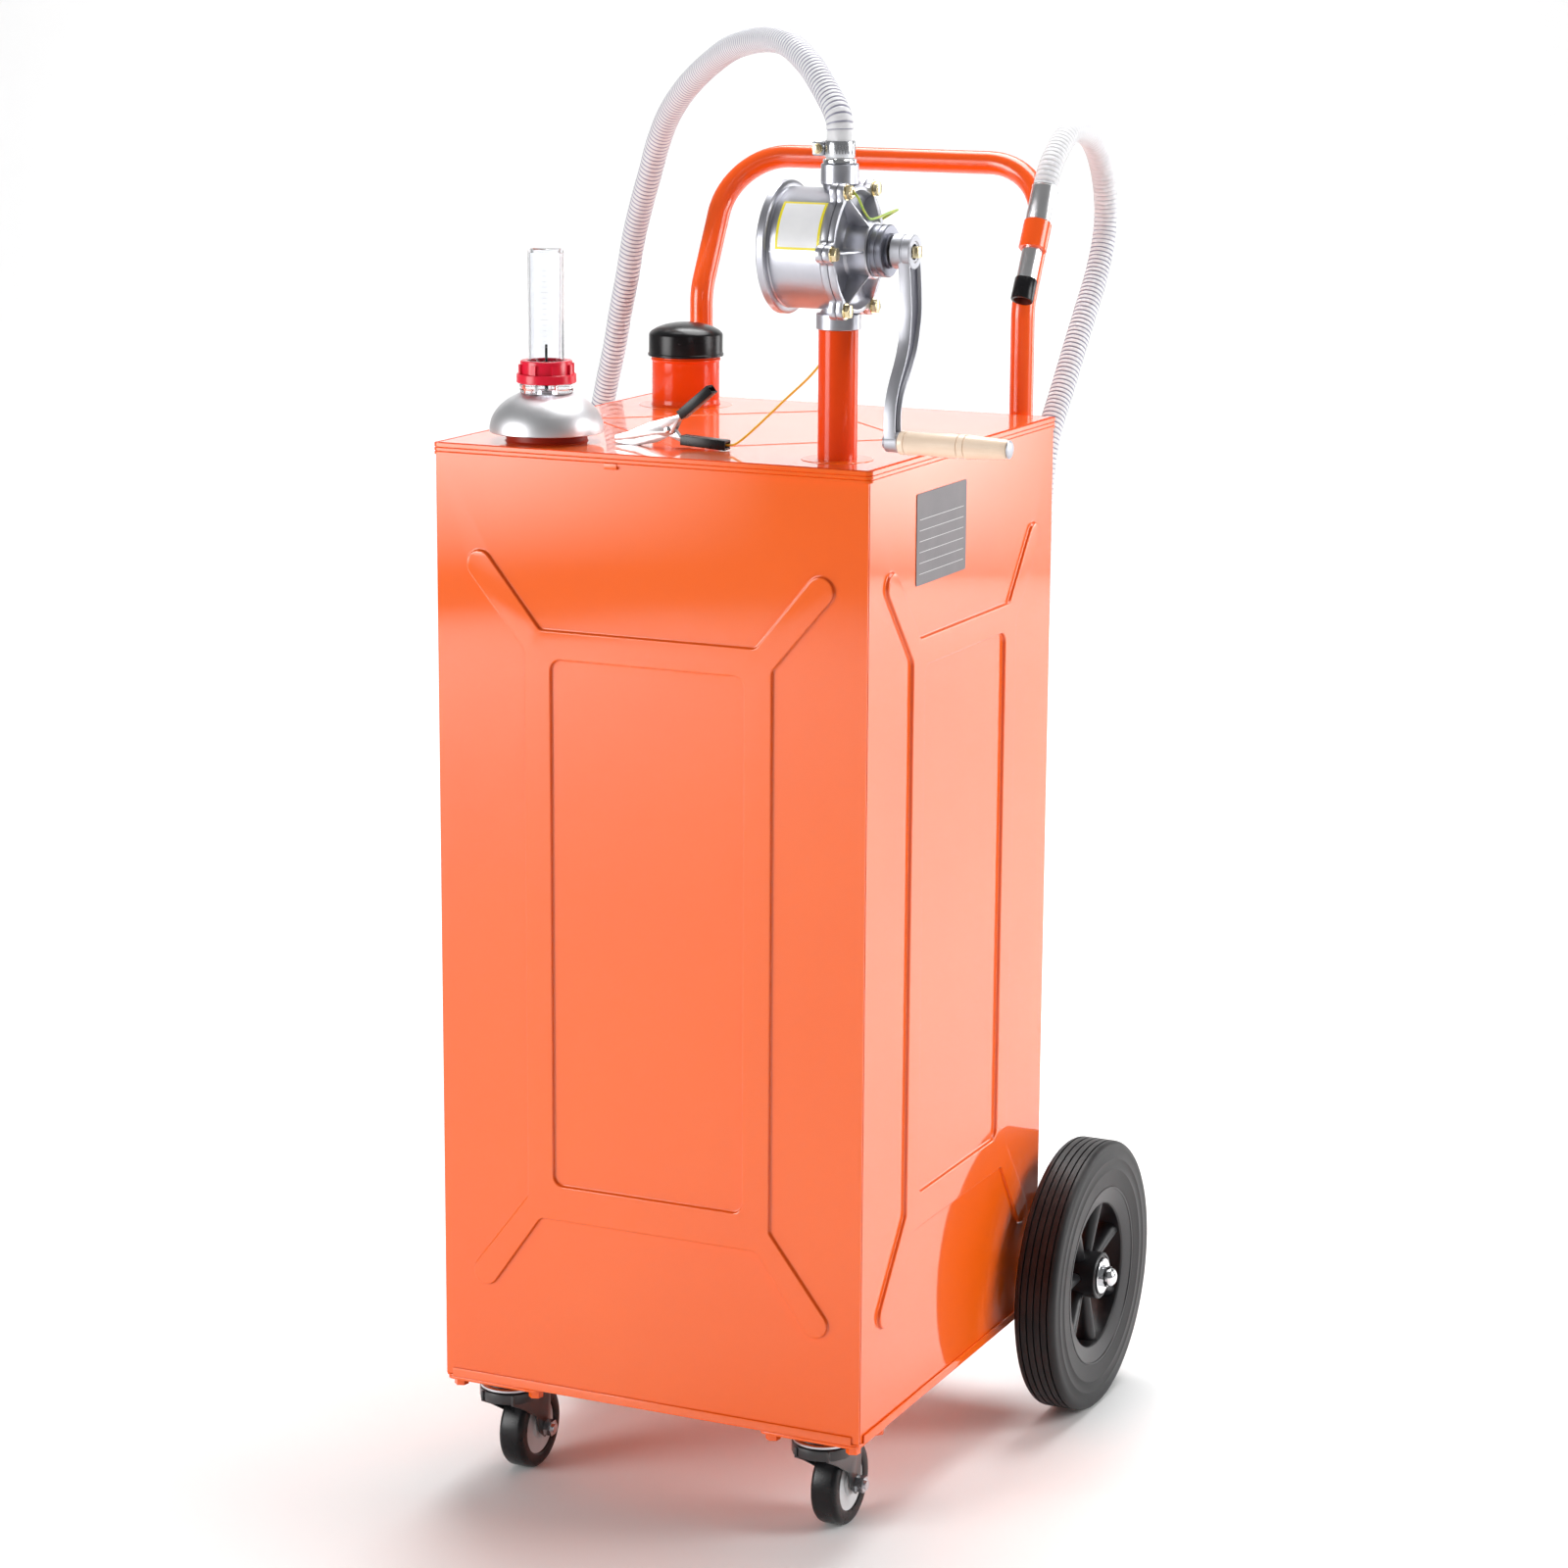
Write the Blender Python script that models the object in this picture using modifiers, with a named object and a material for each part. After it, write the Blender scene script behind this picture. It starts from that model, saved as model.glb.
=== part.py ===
import math
from types import SimpleNamespace as Sizes

import bmesh
import bpy
from mathutils import Matrix, Vector

# Shared sizes, in metres; heights count from the underside of the tank
gap = 0.0003
half_turn = math.pi
quarter_turn = math.pi / 2
fine_steps = 24
plain_steps = 12
wheel_steps = 28

tank = Sizes(width=0.395, depth=0.405, height=0.820, sheet=0.0015, ground=0.0985)
tank.side = tank.width / 2
tank.rear = tank.depth / 2
tank.front = -tank.rear
tank.plate_under = tank.height - tank.sheet


# Many places are given from the tank's side, front, rear or top, and start there
def count_from(start, sizes, *names):
    for name in names:
        setattr(sizes, name, start + getattr(sizes, name))


band = Sizes(inner_half=-0.1085, outer_half=-0.0835, inner_low=0.189, inner_high=-0.174,
             outer_low=0.158, outer_high=-0.150, raised=0.003, slope=0.0015, corner=0.009,
             arm_x=-0.0415, arm_high=-0.099, arm_low=0.102, arm_half=0.012, bend=0.006,
             top_root_x=-0.0985, side_root_high=-0.167, low_root_x=-0.0955, side_root_low=0.176,
             corner_back=0.0012, depth_back=0.005)
count_from(tank.side, band, "inner_half", "outer_half", "arm_x", "top_root_x", "low_root_x")
count_from(tank.height, band, "inner_high", "outer_high", "arm_high", "side_root_high")

rim = Sizes(low=-0.009, high=0.001, thick=0.0017, land=0.0032, edge=0.0006, groove=0.0005,
            groove_shares=(0.32, 0.38, 0.44), corner=0.001, slope=0.001, tab_low_x=-0.0385,
            tab_high_x=-0.0265, tab_drop=0.003, tab_rise=0.002, tab_out=0.0008)
count_from(tank.height, rim, "low", "high")

foot = Sizes(corner=0.008, strip_high=0.008, strip_thick=0.0015, strip_end=0.007)

bead = Sizes(left=0.0425, right=-0.0525, rear=-0.0575, front=0.0555, radius=0.0013, sink=0.0002)
count_from(-tank.side, bead, "left")
count_from(tank.side, bead, "right")
count_from(tank.rear, bead, "rear")
count_from(tank.front, bead, "front")

filler = Sizes(x=0.067, y=-0.0695, radius=0.03025, bore=0.0280, low=-0.014, high=0.0620,
               bead_high=0.0420, bead_out=0.0010, bead_half=0.0016, ring=0.0425, ring_high=0.0012,
               ring_in=0.0330)
count_from(-tank.side, filler, "x")
count_from(tank.rear, filler, "y")
count_from(tank.height, filler, "low", "high", "bead_high")

cap = Sizes(low=0.0450, lip_high=0.0468, lip=0.0340, radius=0.0333, shoulder=0.0640, high=0.0750,
            land_under=0.0646, land_in=0.0240, crown_in=0.0180, crown_under=0.0700,
            gasket_in=0.0250)
count_from(tank.height, cap, "low", "lip_high", "shoulder", "high", "land_under", "crown_under")

gauge = Sizes(x=0.0765, y=0.0535, base=0.0340, base_in=0.0300, base_high=0.008, base_round_share=0.2,
              dome_rim=0.0480, dome_rim_high=0.0100, dome_high=0.041, dome_top=0.0215, wall=0.0020,
              hole=0.010, neck=0.0223, neck_high=0.049, neck_bore=0.0085,
              nut_low=0.0250, nut_low_high=0.057, nut_high=0.0217, nut_top=0.068,
              flange=0.0195, flange_high=0.0525, tube=0.0160, tube_top=0.0150, sight_top=0.161,
              sight_wall=0.0018, rod=0.0015, rod_top=0.081, rod_cap=0.0030, rod_cap_thick=0.004)
count_from(-tank.side, gauge, "x")
count_from(tank.front, gauge, "y")
count_from(tank.height, gauge, "base_high", "dome_rim_high", "dome_high", "neck_high",
           "nut_low_high", "nut_top", "flange_high", "sight_top", "rod_top")

stem = Sizes(radius=0.0060, bore=0.0030, flange=0.0020, low=-0.320, pivot_back=0.067, pivot_z=-0.365,
             plate_front=0.009, plate_thick=0.0025, plate_low_half=0.0050, pin=0.0030,
             plate_high=-0.275, pin_end=0.006, arm=0.0030, arm_eye=0.0062, arm_thick=0.0060,
             arm_root_share=0.8, arm_long=0.216, rest_deg=25.0, rod_rest_gap=0.0010,
             float_at=0.180, float_radius=0.022, float_half=0.030)
count_from(tank.height, stem, "low", "pivot_z", "plate_high")

# Along the pump's axis, its places count from the middle of the riser
pump = Sizes(y=0.0545, z=0.1703, x=-0.0525, disc=0.0535, disc_low=-0.0495, disc_high=-0.041,
             body=0.0485, flange_low=0.006, joint=0.012, cover_high=0.018, flange=0.0508,
             ear_at=0.0543, ear=0.0072, bolt=0.0050, bolt_high=0.023, cavity=0.0405,
             cavity_drop=0.0045, cavity_low=-0.035, rotor=0.0355, vane_in=0.0135, vane_half=0.0020,
             cone_root=0.0490, cone_high=0.0218, boss=0.0230, boss_high=0.033,
             gland=0.0210, gland_high=0.045, gland_step=0.0140, gland_end=0.047,
             shaft=0.0070, square=0.0045, shaft_end=0.0705, square_low=0.0485,
             rib_half=0.0020, rib_in=0.0215, rib_out=0.0470, rib_in_high=0.0285,
             rib_out_high=0.0215)
count_from(tank.side, pump, "x")
count_from(tank.front, pump, "y")
count_from(tank.height, pump, "z")
count_from(pump.x, pump, "disc_low", "disc_high", "flange_low", "joint", "cover_high", "bolt_high",
           "cavity_low", "cone_high", "boss_high", "gland_high", "gland_end", "shaft_end",
           "square_low", "rib_in_high", "rib_out_high")

inlet = Sizes(radius=0.0180, low=0.1063, high=0.1188, neck=0.0115, neck_high=0.135,
              bore=0.0100, seat=0.0145, seat_high=0.1145)
count_from(tank.height, inlet, "low", "high", "neck_high", "seat_high")

riser = Sizes(radius=0.0160, tip=0.0142, low=-0.017, shoulder=0.1060, high=0.1140, bore=0.0120,
              ring=0.0300, ring_high=0.0015, ring_in=0.0180, suction=0.0117, suction_bore=0.0100,
              suction_low=0.030, suction_high=0.105, notch_high=0.045)
count_from(tank.height, riser, "low", "shoulder", "high", "suction_high")

outlet = Sizes(radius=0.0152, low=0.2218, high=0.2380, neck=0.0115, neck_low=0.210,
               bore=0.0088, lip=0.0135, lip_high=0.2415, tail_low=0.226, barb=0.0074,
               barb_neck=0.0068, barb_high=0.2580, barb_bore=0.0050, barb_pitch=0.010,
               ridge_share=0.7)
count_from(tank.height, outlet, "low", "high", "neck_low", "lip_high", "tail_low", "barb_high")

clamp = Sizes(low=0.243, high=0.256, inner=0.0114, thick=0.0008, house_low_x=-0.022,
              house_high_x=-0.0112, house_half=0.0065, screw_low_share=1.6, screw_high_share=1.2)
count_from(tank.height, clamp, "low", "high")

# The crank's line runs from the shaft down to the eye of the grip
crank = Sizes(hub=0.0138, hub_low=0.0490, hub_high=0.0665, arm_low=0.0530, arm_high=0.0655,
              eye=0.0080, eye_y=-0.039, eye_z=-0.1473, bolt=0.0030, head_share=0.7)
crank.line_y = (0, -0.001, 0, -0.006, -0.019, -0.031, -0.035, crank.eye_y)
crank.line_z = (0, -0.0313, -0.0563, -0.0793, -0.0938, -0.1123, -0.1313, crank.eye_z)
crank.half = (0.0120, 0.0115, 0.0105, 0.0090, 0.0088, 0.0078, 0.0066, 0.0062)
count_from(pump.x, crank, "hub_low", "hub_high", "arm_low", "arm_high")
count_from(pump.y, crank, "eye_y")
count_from(pump.z, crank, "eye_z")

grip = Sizes(low=0.0672, high=0.1645, root=0.0095, waist=0.0088, belly=0.0092, end=0.0080,
             groove=0.0006, groove_low=0.1230, groove_high=0.1290, groove_half=0.0009,
             cap=0.0073, cap_low=0.1648, cap_high=0.1668, bore=0.0034, end_share=0.94,
             cap_share=0.7)
count_from(pump.x, grip, "low", "high", "groove_low", "groove_high", "cap_low", "cap_high")

handle = Sizes(radius=0.0105, wall=0.0015, x=-0.039, y=0.0195, low=-0.260, kink_z=0.095,
               top_z=0.2155, lean_deg=28.0, kink_radius=0.045, corner_radius=0.060,
               foot_low=-0.220, foot_high=-0.055, foot_half=0.012, foot_wide=0.014,
               foot_thick=0.003)
count_from(tank.side, handle, "x")
count_from(tank.rear, handle, "y")
count_from(tank.height, handle, "low", "kink_z", "top_z", "foot_low", "foot_high")

bracket = Sizes(half=-0.0069, rear=0.0355, low=0.0086, high=0.0450, wall=0.0030)
count_from(tank.side, bracket, "half")
count_from(tank.rear, bracket, "rear")

axle = Sizes(radius=0.0080, collar=0.0115, collar_low=0.0006, shoulder=0.057, thread=0.0065,
             end=0.0655, washer=0.0165, washer_thick=0.0015, hex=0.0098, hex_high=0.0650,
             dome=0.0088, dome_end=0.0715, nut_bore=0.0068, nut_bore_end=0.0661)
count_from(bracket.half, axle, "collar_low")
count_from(tank.side, axle, "shoulder", "end", "hex_high", "dome_end", "nut_bore_end")

wheel = Sizes(y=0.0195, z=0.0265, radius=0.125, low_x=0.018, high_x=0.058, tyre_thick=0.0425,
              shoulder=0.006, rim_thick=0.0160, rim_inset=0.0010, hub=0.0215, spokes=7,
              spoke_root=0.0060, spoke_end=0.0110, spoke_phase=17.0, hub_low=0.0163,
              hub_high=0.0572, spoke_lap=0.0035)
count_from(tank.rear, wheel, "y")
count_from(tank.side, wheel, "low_x", "high_x", "hub_low", "hub_high")
wheel.rim = wheel.radius - wheel.tyre_thick
wheel.rim_inner = wheel.rim - wheel.rim_thick
wheel.bore = axle.radius + gap

caster = Sizes(x=-0.0465, y=0.0305, plate_x=0.046, plate_y=0.032, plate_low=-0.0028,
               bolt_x=0.037, bolt_front=-0.021, bolt_rear=0.029, bolt=0.0055, bolt_low=-0.0100,
               race=0.0260, race_low=-0.0118, king=0.0060, king_head=0.0100, king_head_high=-0.0218,
               king_low=-0.0242, disc=0.0270, disc_high=-0.0124, disc_low=-0.0214,
               leg_in=0.0138, leg_out=0.0160, trail=0.035, axle_z=-0.061,
               wheel=0.0375, wheel_half=0.0120, wheel_round=0.0050, wheel_bore=0.0046,
               axle=0.0040, axle_low=-0.0200, axle_high=0.0260, axle_head=0.0070,
               axle_nut=0.0065, axle_nut_high=0.0240, lever_y=0.0405, lever_z=-0.0170,
               lever_bore=0.0018, lever_barrel=0.0034, lever_half=0.0130, lever_thick=0.0026,
               pedal_end_y=0.084, pedal_end_z=-0.0335, pedal_mid_y=0.058, pedal_mid_z=-0.0200,
               pad_y=0.051, pad_low=-0.0245, pad_half=0.0035)
caster.leg_y = (-0.0240, 0.0440, 0.0455, 0.0440, 0.0350, 0.0265, 0.0190, -0.0080, -0.0240)
caster.leg_z = (-0.0130, -0.0130, -0.0240, -0.0620, -0.0710, -0.0640, -0.0460, -0.0300, -0.0220)
count_from(tank.side, caster, "x")
count_from(tank.front, caster, "y")

nozzle = Sizes(x=0.008, y=0.006, z=0.156, lean_deg=28.6, pipe=0.0090, pipe_bore=0.0075,
               pipe_low=-0.0545, pipe_high=0.0420, tip=0.0100, tip_low=-0.0620, tip_high=-0.0415,
               ring=0.0125, ring_half=0.0130, cuff_low=0.0136, barb=0.0072,
               saddle_half=0.0060, barb_share=0.9, bore_share=0.8)
count_from(handle.x, nozzle, "x")
count_from(handle.y, nozzle, "y")
count_from(tank.height, nozzle, "z")

hose = Sizes(radius=0.0110, root_share=0.91, bore=0.0085, ribs=60, straight=0.022,
             past_share=0.2)

# Both routes are drawn round this tank. Near its middle they stay, and out where the pump,
# the handle and the nozzle are they move with its sides, front, rear and top
drawn = Sizes(side=0.1975, rear=0.2025, top=0.820, still_x=0.060, moved_x=0.140,
              still_y=0.050, moved_y=0.140)


def follow(place, still, moved, grown):
    share = min(max((abs(place) - still) / (moved - still), 0), 1)
    return place + math.copysign(share, place) * grown


def following(route):
    return [(follow(x, drawn.still_x, drawn.moved_x, tank.side - drawn.side),
             follow(y, drawn.still_y, drawn.moved_y, tank.rear - drawn.rear),
             z + tank.height - drawn.top) for x, y, z in route]


# Route of the hose, from the pump to the loop behind the nozzle
hose.route = (
    (0.1450, -0.1480, 1.0620), (0.1450, -0.1480, 1.0720), (0.1450, -0.1480, 1.0815),
    (0.1408, -0.1440, 1.0965),
    (0.1179, -0.1222, 1.1180), (0.0946, -0.0999, 1.1347), (0.0616, -0.0685, 1.1486),
    (0.0232, -0.0318, 1.1507), (-0.0266, 0.0156, 1.1426), (-0.0678, 0.0549, 1.1272),
    (-0.1103, 0.0954, 1.1050), (-0.1432, 0.1267, 1.0801), (-0.1656, 0.1481, 1.0527),
    (-0.1825, 0.1642, 1.0226), (-0.1999, 0.1808, 0.9921), (-0.2146, 0.1948, 0.9614),
    (-0.2265, 0.2062, 0.9278), (-0.2416, 0.2206, 0.8908), (-0.2539, 0.2323, 0.8567),
    (-0.2757, 0.2531, 0.8066), (-0.2905, 0.2640, 0.7520), (-0.2970, 0.2670, 0.6900),
    (-0.2925, 0.2660, 0.6100), (-0.2720, 0.2640, 0.5270), (-0.2330, 0.2620, 0.4500),
    (-0.1760, 0.2610, 0.3850), (-0.1050, 0.2600, 0.3430), (-0.0300, 0.2600, 0.3300),
    (0.0450, 0.2600, 0.3480), (0.1020, 0.2600, 0.3960), (0.1410, 0.2590, 0.4650),
    (0.1600, 0.2570, 0.5450), (0.1655, 0.2550, 0.6250), (0.1665, 0.2540, 0.6950),
    (0.1665, 0.2575, 0.7500), (0.1665, 0.2700, 0.7930), (0.1665, 0.3000, 0.8296),
    (0.1665, 0.3430, 0.8810), (0.1665, 0.3867, 0.9332), (0.1665, 0.4042, 0.9707),
    (0.1665, 0.4027, 1.0053), (0.1665, 0.3867, 1.0360), (0.1665, 0.3592, 1.0571),
    (0.1665, 0.3254, 1.0646), (0.1665, 0.2980, 1.0598), (0.1665, 0.2688, 1.0412),
    (0.1665, 0.2554, 1.0262), (0.1665, 0.2443, 1.0059), (0.1665, 0.2347, 0.9883))

wire = Sizes(radius=0.0010, points=32)
wire.route = (
    (0.1694, -0.1752, 1.0373), (0.1730, -0.1742, 1.0330), (0.1755, -0.1690, 1.0230),
    (0.1760, -0.1590, 1.0160), (0.1760, -0.1480, 1.0155), (0.1760, -0.1350, 1.0165),
    (0.1765, -0.1200, 1.0185), (0.1765, -0.1070, 1.0195), (0.1735, -0.0975, 1.0190),
    (0.1650, -0.0925, 1.0150), (0.1510, -0.0915, 1.0050), (0.1410, -0.0900, 0.9850),
    (0.1320, -0.0905, 0.9550), (0.1235, -0.0985, 0.9200), (0.1090, -0.1100, 0.8890),
    (0.0850, -0.1230, 0.8620), (0.0620, -0.1360, 0.8370), (0.0520, -0.1425, 0.8275),
    (0.0465, -0.1430, 0.8258), (0.0412, -0.1430, 0.8258))

# Places on the clip are given in its own upright plane, as along and up from the top plate
clip = Sizes(y=0.0595, pivot_x=-0.0095, pivot_z=0.0157, lower_half=0.0024, upper_half=0.0040,
             slot_half=0.0027, slot_low_x=-0.0410, slot_high_x=0.0100, slot_low=-0.0050,
             slot_high=0.0225, tail_half=0.0018, sleeve_out=0.0040, sleeve_in=0.0021,
             sleeve_half=0.0056, sleeve_hollow=0.0043, pin=0.0012, pin_head=0.0025,
             pin_head_thick=0.0010, sleeve_past=0.0035,
             lower_tail=((0.0015, 0.0081), (0.0405, 0.0058)),
             upper_tail=((0.0005, 0.0270), (0.0270, 0.0490)))
clip.lower_front = ((-0.0587, 0.0040), (-0.0400, 0.0062), (-0.0200, 0.0130), (-0.0130, 0.0192),
                    (-0.0050, 0.0185))
clip.lower_back = ((-0.0090, 0.0100), (-0.0200, 0.0045), (-0.0400, 0.0003), (-0.0580, 0.0015))
clip.upper_front = ((-0.0580, 0.0090), (-0.0467, 0.0120), (-0.0257, 0.0213))
clip.upper_back = ((-0.0040, 0.0130), (-0.0110, 0.0102), (-0.0200, 0.0110), (-0.0410, 0.0068),
                   (-0.0587, 0.0048))
count_from(tank.front, clip, "y")

# Start from nothing, with one collection for pieces and one for cutters
for old in list(bpy.data.objects):
    bpy.data.objects.remove(old)

pieces = bpy.data.collections.new("fuel_caddy")
cutters = bpy.data.collections.new("cutters")
bpy.context.scene.collection.children.link(pieces)
bpy.context.scene.collection.children.link(cutters)


def paint(name, colour, metallic, roughness):
    material = bpy.data.materials.new(name)
    material.use_nodes = True
    shader = material.node_tree.nodes["Principled BSDF"]
    shader.inputs["Base Color"].default_value = (*colour, 1.0)
    shader.inputs["Metallic"].default_value = metallic
    shader.inputs["Roughness"].default_value = roughness
    return material


orange = paint("orange_paint", (0.95, 0.20, 0.03), 0.0, 0.3)
red_nut = paint("red_plastic", (0.80, 0.07, 0.02), 0.0, 0.35)
black = paint("black_plastic", (0.02, 0.02, 0.02), 0.0, 0.45)
rubber = paint("black_rubber", (0.03, 0.03, 0.035), 0.0, 0.7)
steel = paint("bright_steel", (0.75, 0.75, 0.77), 1.0, 0.2)
cast = paint("cast_aluminium", (0.62, 0.63, 0.66), 1.0, 0.38)
brass = paint("brass", (0.80, 0.62, 0.25), 1.0, 0.3)
clear = paint("clear_plastic", (0.85, 0.88, 0.90), 0.0, 0.1)
wood = paint("wood", (0.70, 0.45, 0.22), 0.0, 0.5)
green = paint("green_yellow_wire", (0.35, 0.60, 0.10), 0.0, 0.5)


def take(name, mesh, at=(0, 0, 0), material=None, turn=(0, 0, 0), smooth=False):
    piece = bpy.data.objects.new(name, mesh)
    piece.location = at
    piece.rotation_euler = turn
    if material is None:
        cutters.objects.link(piece)
        piece.hide_render = True
        piece.display_type = "WIRE"
    else:
        pieces.objects.link(piece)
        mesh.materials.append(material)
    if smooth:
        mesh.polygons.foreach_set("use_smooth", [True] * len(mesh.polygons))
    return piece


def boolean(piece, tool, operation):
    step = piece.modifiers.new(tool.name, "BOOLEAN")
    step.operation = operation
    step.solver = "EXACT"
    step.object = tool


def cut(piece, *tools):
    for tool in tools:
        boolean(piece, tool, "DIFFERENCE")


def add(piece, *tools):
    for tool in tools:
        boolean(piece, tool, "UNION")


def box(name, low, high, at=(0, 0, 0), material=None, turn=(0, 0, 0)):
    low = Vector(low)
    high = Vector(high)
    size = high - low
    place = Matrix.Translation((low + high) / 2) @ Matrix.Diagonal((*size, 1))
    shape = bmesh.new()
    bmesh.ops.create_cube(shape, size=1, matrix=place)
    mesh = bpy.data.meshes.new(name)
    shape.to_mesh(mesh)
    shape.free()
    return take(name, mesh, at, material, turn)


along = {
    "X": Matrix.Rotation(quarter_turn, 4, "Y"),
    "Y": Matrix.Rotation(-quarter_turn, 4, "X"),
    "Z": Matrix.Identity(4),
}


def rod(name, radius, low, high, axis="Z", at=(0, 0, 0), material=None, sides=plain_steps,
        turn=(0, 0, 0), offset=(0, 0, 0), spin=0.0):
    middle = along[axis] @ Vector((0, 0, (low + high) / 2))
    place = Matrix.Translation(middle + Vector(offset)) @ along[axis]
    place = place @ Matrix.Rotation(spin, 4, "Z")
    shape = bmesh.new()
    bmesh.ops.create_cone(shape, cap_ends=True, segments=sides, radius1=radius, radius2=radius,
                          depth=high - low, matrix=place)
    mesh = bpy.data.meshes.new(name)
    shape.to_mesh(mesh)
    shape.free()
    return take(name, mesh, at, material, turn)


def turned(name, profile, at=(0, 0, 0), material=None, axis="Z", steps=fine_steps, turn=None,
           ring=False):
    shape = bmesh.new()
    points = [shape.verts.new((radius, 0, height)) for radius, height in profile]
    for one, other in zip(points, points[1:]):
        shape.edges.new((one, other))
    if ring:
        shape.edges.new((points[-1], points[0]))
    mesh = bpy.data.meshes.new(name)
    shape.to_mesh(mesh)
    shape.free()
    if turn is None:
        turn = along[axis].to_euler()
    piece = take(name, mesh, at, material, turn)
    spin = piece.modifiers.new("turned", "SCREW")
    spin.axis = "Z"
    spin.steps = steps
    spin.render_steps = steps
    spin.use_merge_vertices = True
    spin.merge_threshold = 0.00001
    spin.use_smooth_shade = True
    return piece


def baked(piece):
    graph = bpy.context.evaluated_depsgraph_get()
    mesh = bpy.data.meshes.new_from_object(piece.evaluated_get(graph))
    shape = bmesh.new()
    shape.from_mesh(mesh)
    bmesh.ops.remove_doubles(shape, verts=shape.verts, dist=0.000001)
    bmesh.ops.recalc_face_normals(shape, faces=shape.faces)
    shape.to_mesh(mesh)
    shape.free()
    mesh.materials.clear()
    return mesh


def from_curve(name, curve, at, material, turn, smooth=False):
    rough = bpy.data.objects.new(name + "_curve", curve)
    bpy.context.scene.collection.objects.link(rough)
    mesh = baked(rough)
    bpy.data.objects.remove(rough)
    return take(name, mesh, at, material, turn, smooth)


def outline_curve(name, outlines):
    curve = bpy.data.curves.new(name, "CURVE")
    curve.dimensions = "2D"
    curve.fill_mode = "BOTH"
    for outline in outlines:
        line = curve.splines.new("POLY")
        line.points.add(len(outline) - 1)
        for point, (x, y) in zip(line.points, outline):
            point.co = (x, y, 0, 1)
        line.use_cyclic_u = True
    return curve


def slab(name, outlines, low, high, at=(0, 0, 0), material=None, facing="Z"):
    curve = outline_curve(name, outlines)
    curve.extrude = (high - low) / 2
    frames = {"Z": Matrix.Identity(4),
              "X": Matrix(((0, 0, 1, 0), (1, 0, 0, 0), (0, 1, 0, 0), (0, 0, 0, 1))),
              "Y": Matrix(((1, 0, 0, 0), (0, 0, -1, 0), (0, 1, 0, 0), (0, 0, 0, 1)))}
    middles = {"X": (1, 0, 0), "Y": (0, 1, 0), "Z": (0, 0, 1)}
    piece = from_curve(name, curve, at, material, (0, 0, 0))
    piece.data.transform(frames[facing])
    piece.data.transform(Matrix.Translation(Vector(middles[facing]) * (low + high) / 2))
    return piece


def tube(name, route, radius, material=None, at=(0, 0, 0), factors=None, ring=False,
         roundness=2, smooth=True):
    curve = bpy.data.curves.new(name, "CURVE")
    curve.dimensions = "3D"
    curve.bevel_depth = radius
    curve.bevel_resolution = roundness
    curve.use_fill_caps = True
    line = curve.splines.new("POLY")
    line.points.add(len(route) - 1)
    for number, (point, place) in enumerate(zip(line.points, route)):
        point.co = (*place, 1)
        point.radius = factors[number] if factors else 1
    line.use_cyclic_u = ring
    return from_curve(name, curve, at, material, (0, 0, 0), smooth)


def lengths(route):
    total = [0.0]
    for one, other in zip(route, route[1:]):
        total.append(total[-1] + (Vector(other) - Vector(one)).length)
    return total


def smooth_route(route, count):
    points = [Vector(place) for place in route]
    points = [points[0] * 2 - points[1]] + points + [points[-1] * 2 - points[-2]]
    fine = []
    parts = 16
    for before, here, after, beyond in zip(points, points[1:], points[2:], points[3:]):
        for part in range(parts):
            share = part / parts
            bend = (-before + here * 3 - after * 3 + beyond) * share ** 3
            curl = (before * 2 - here * 5 + after * 4 - beyond) * share ** 2
            rise = (after - before) * share
            fine.append((bend + curl + rise + here * 2) / 2)
    fine.append(points[-2])
    total = lengths(fine)
    even = []
    at = 0
    for number in range(count):
        wanted = total[-1] * number / (count - 1)
        while at < len(fine) - 2 and total[at + 1] < wanted:
            at += 1
        share = (wanted - total[at]) / (total[at + 1] - total[at])
        even.append(fine[at].lerp(fine[at + 1], min(max(share, 0), 1)))
    return even


def rounded(corners, radii, steps=2):
    outline = []
    count = len(corners)
    for number in range(count):
        here = Vector(corners[number])
        back = Vector(corners[number - 1]) - here
        ahead = Vector(corners[(number + 1) % count]) - here
        back.normalize()
        ahead.normalize()
        half = back.angle(ahead) / 2
        reach = radii[number] / math.tan(half)
        centre = here + (back + ahead).normalized() * radii[number] / math.sin(half)
        first = here + back * reach - centre
        last = here + ahead * reach - centre
        sweep = first.angle_signed(last)
        for step in range(steps + 1):
            outline.append(centre + Matrix.Rotation(-sweep * step / steps, 2) @ first)
    return outline


def shifted(outline, out):
    moved = []
    for number, here in enumerate(outline):
        run = outline[(number + 1) % len(outline)] - outline[number - 1]
        moved.append(here + Vector((run.y, -run.x)).normalized() * out)
    return moved


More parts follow.
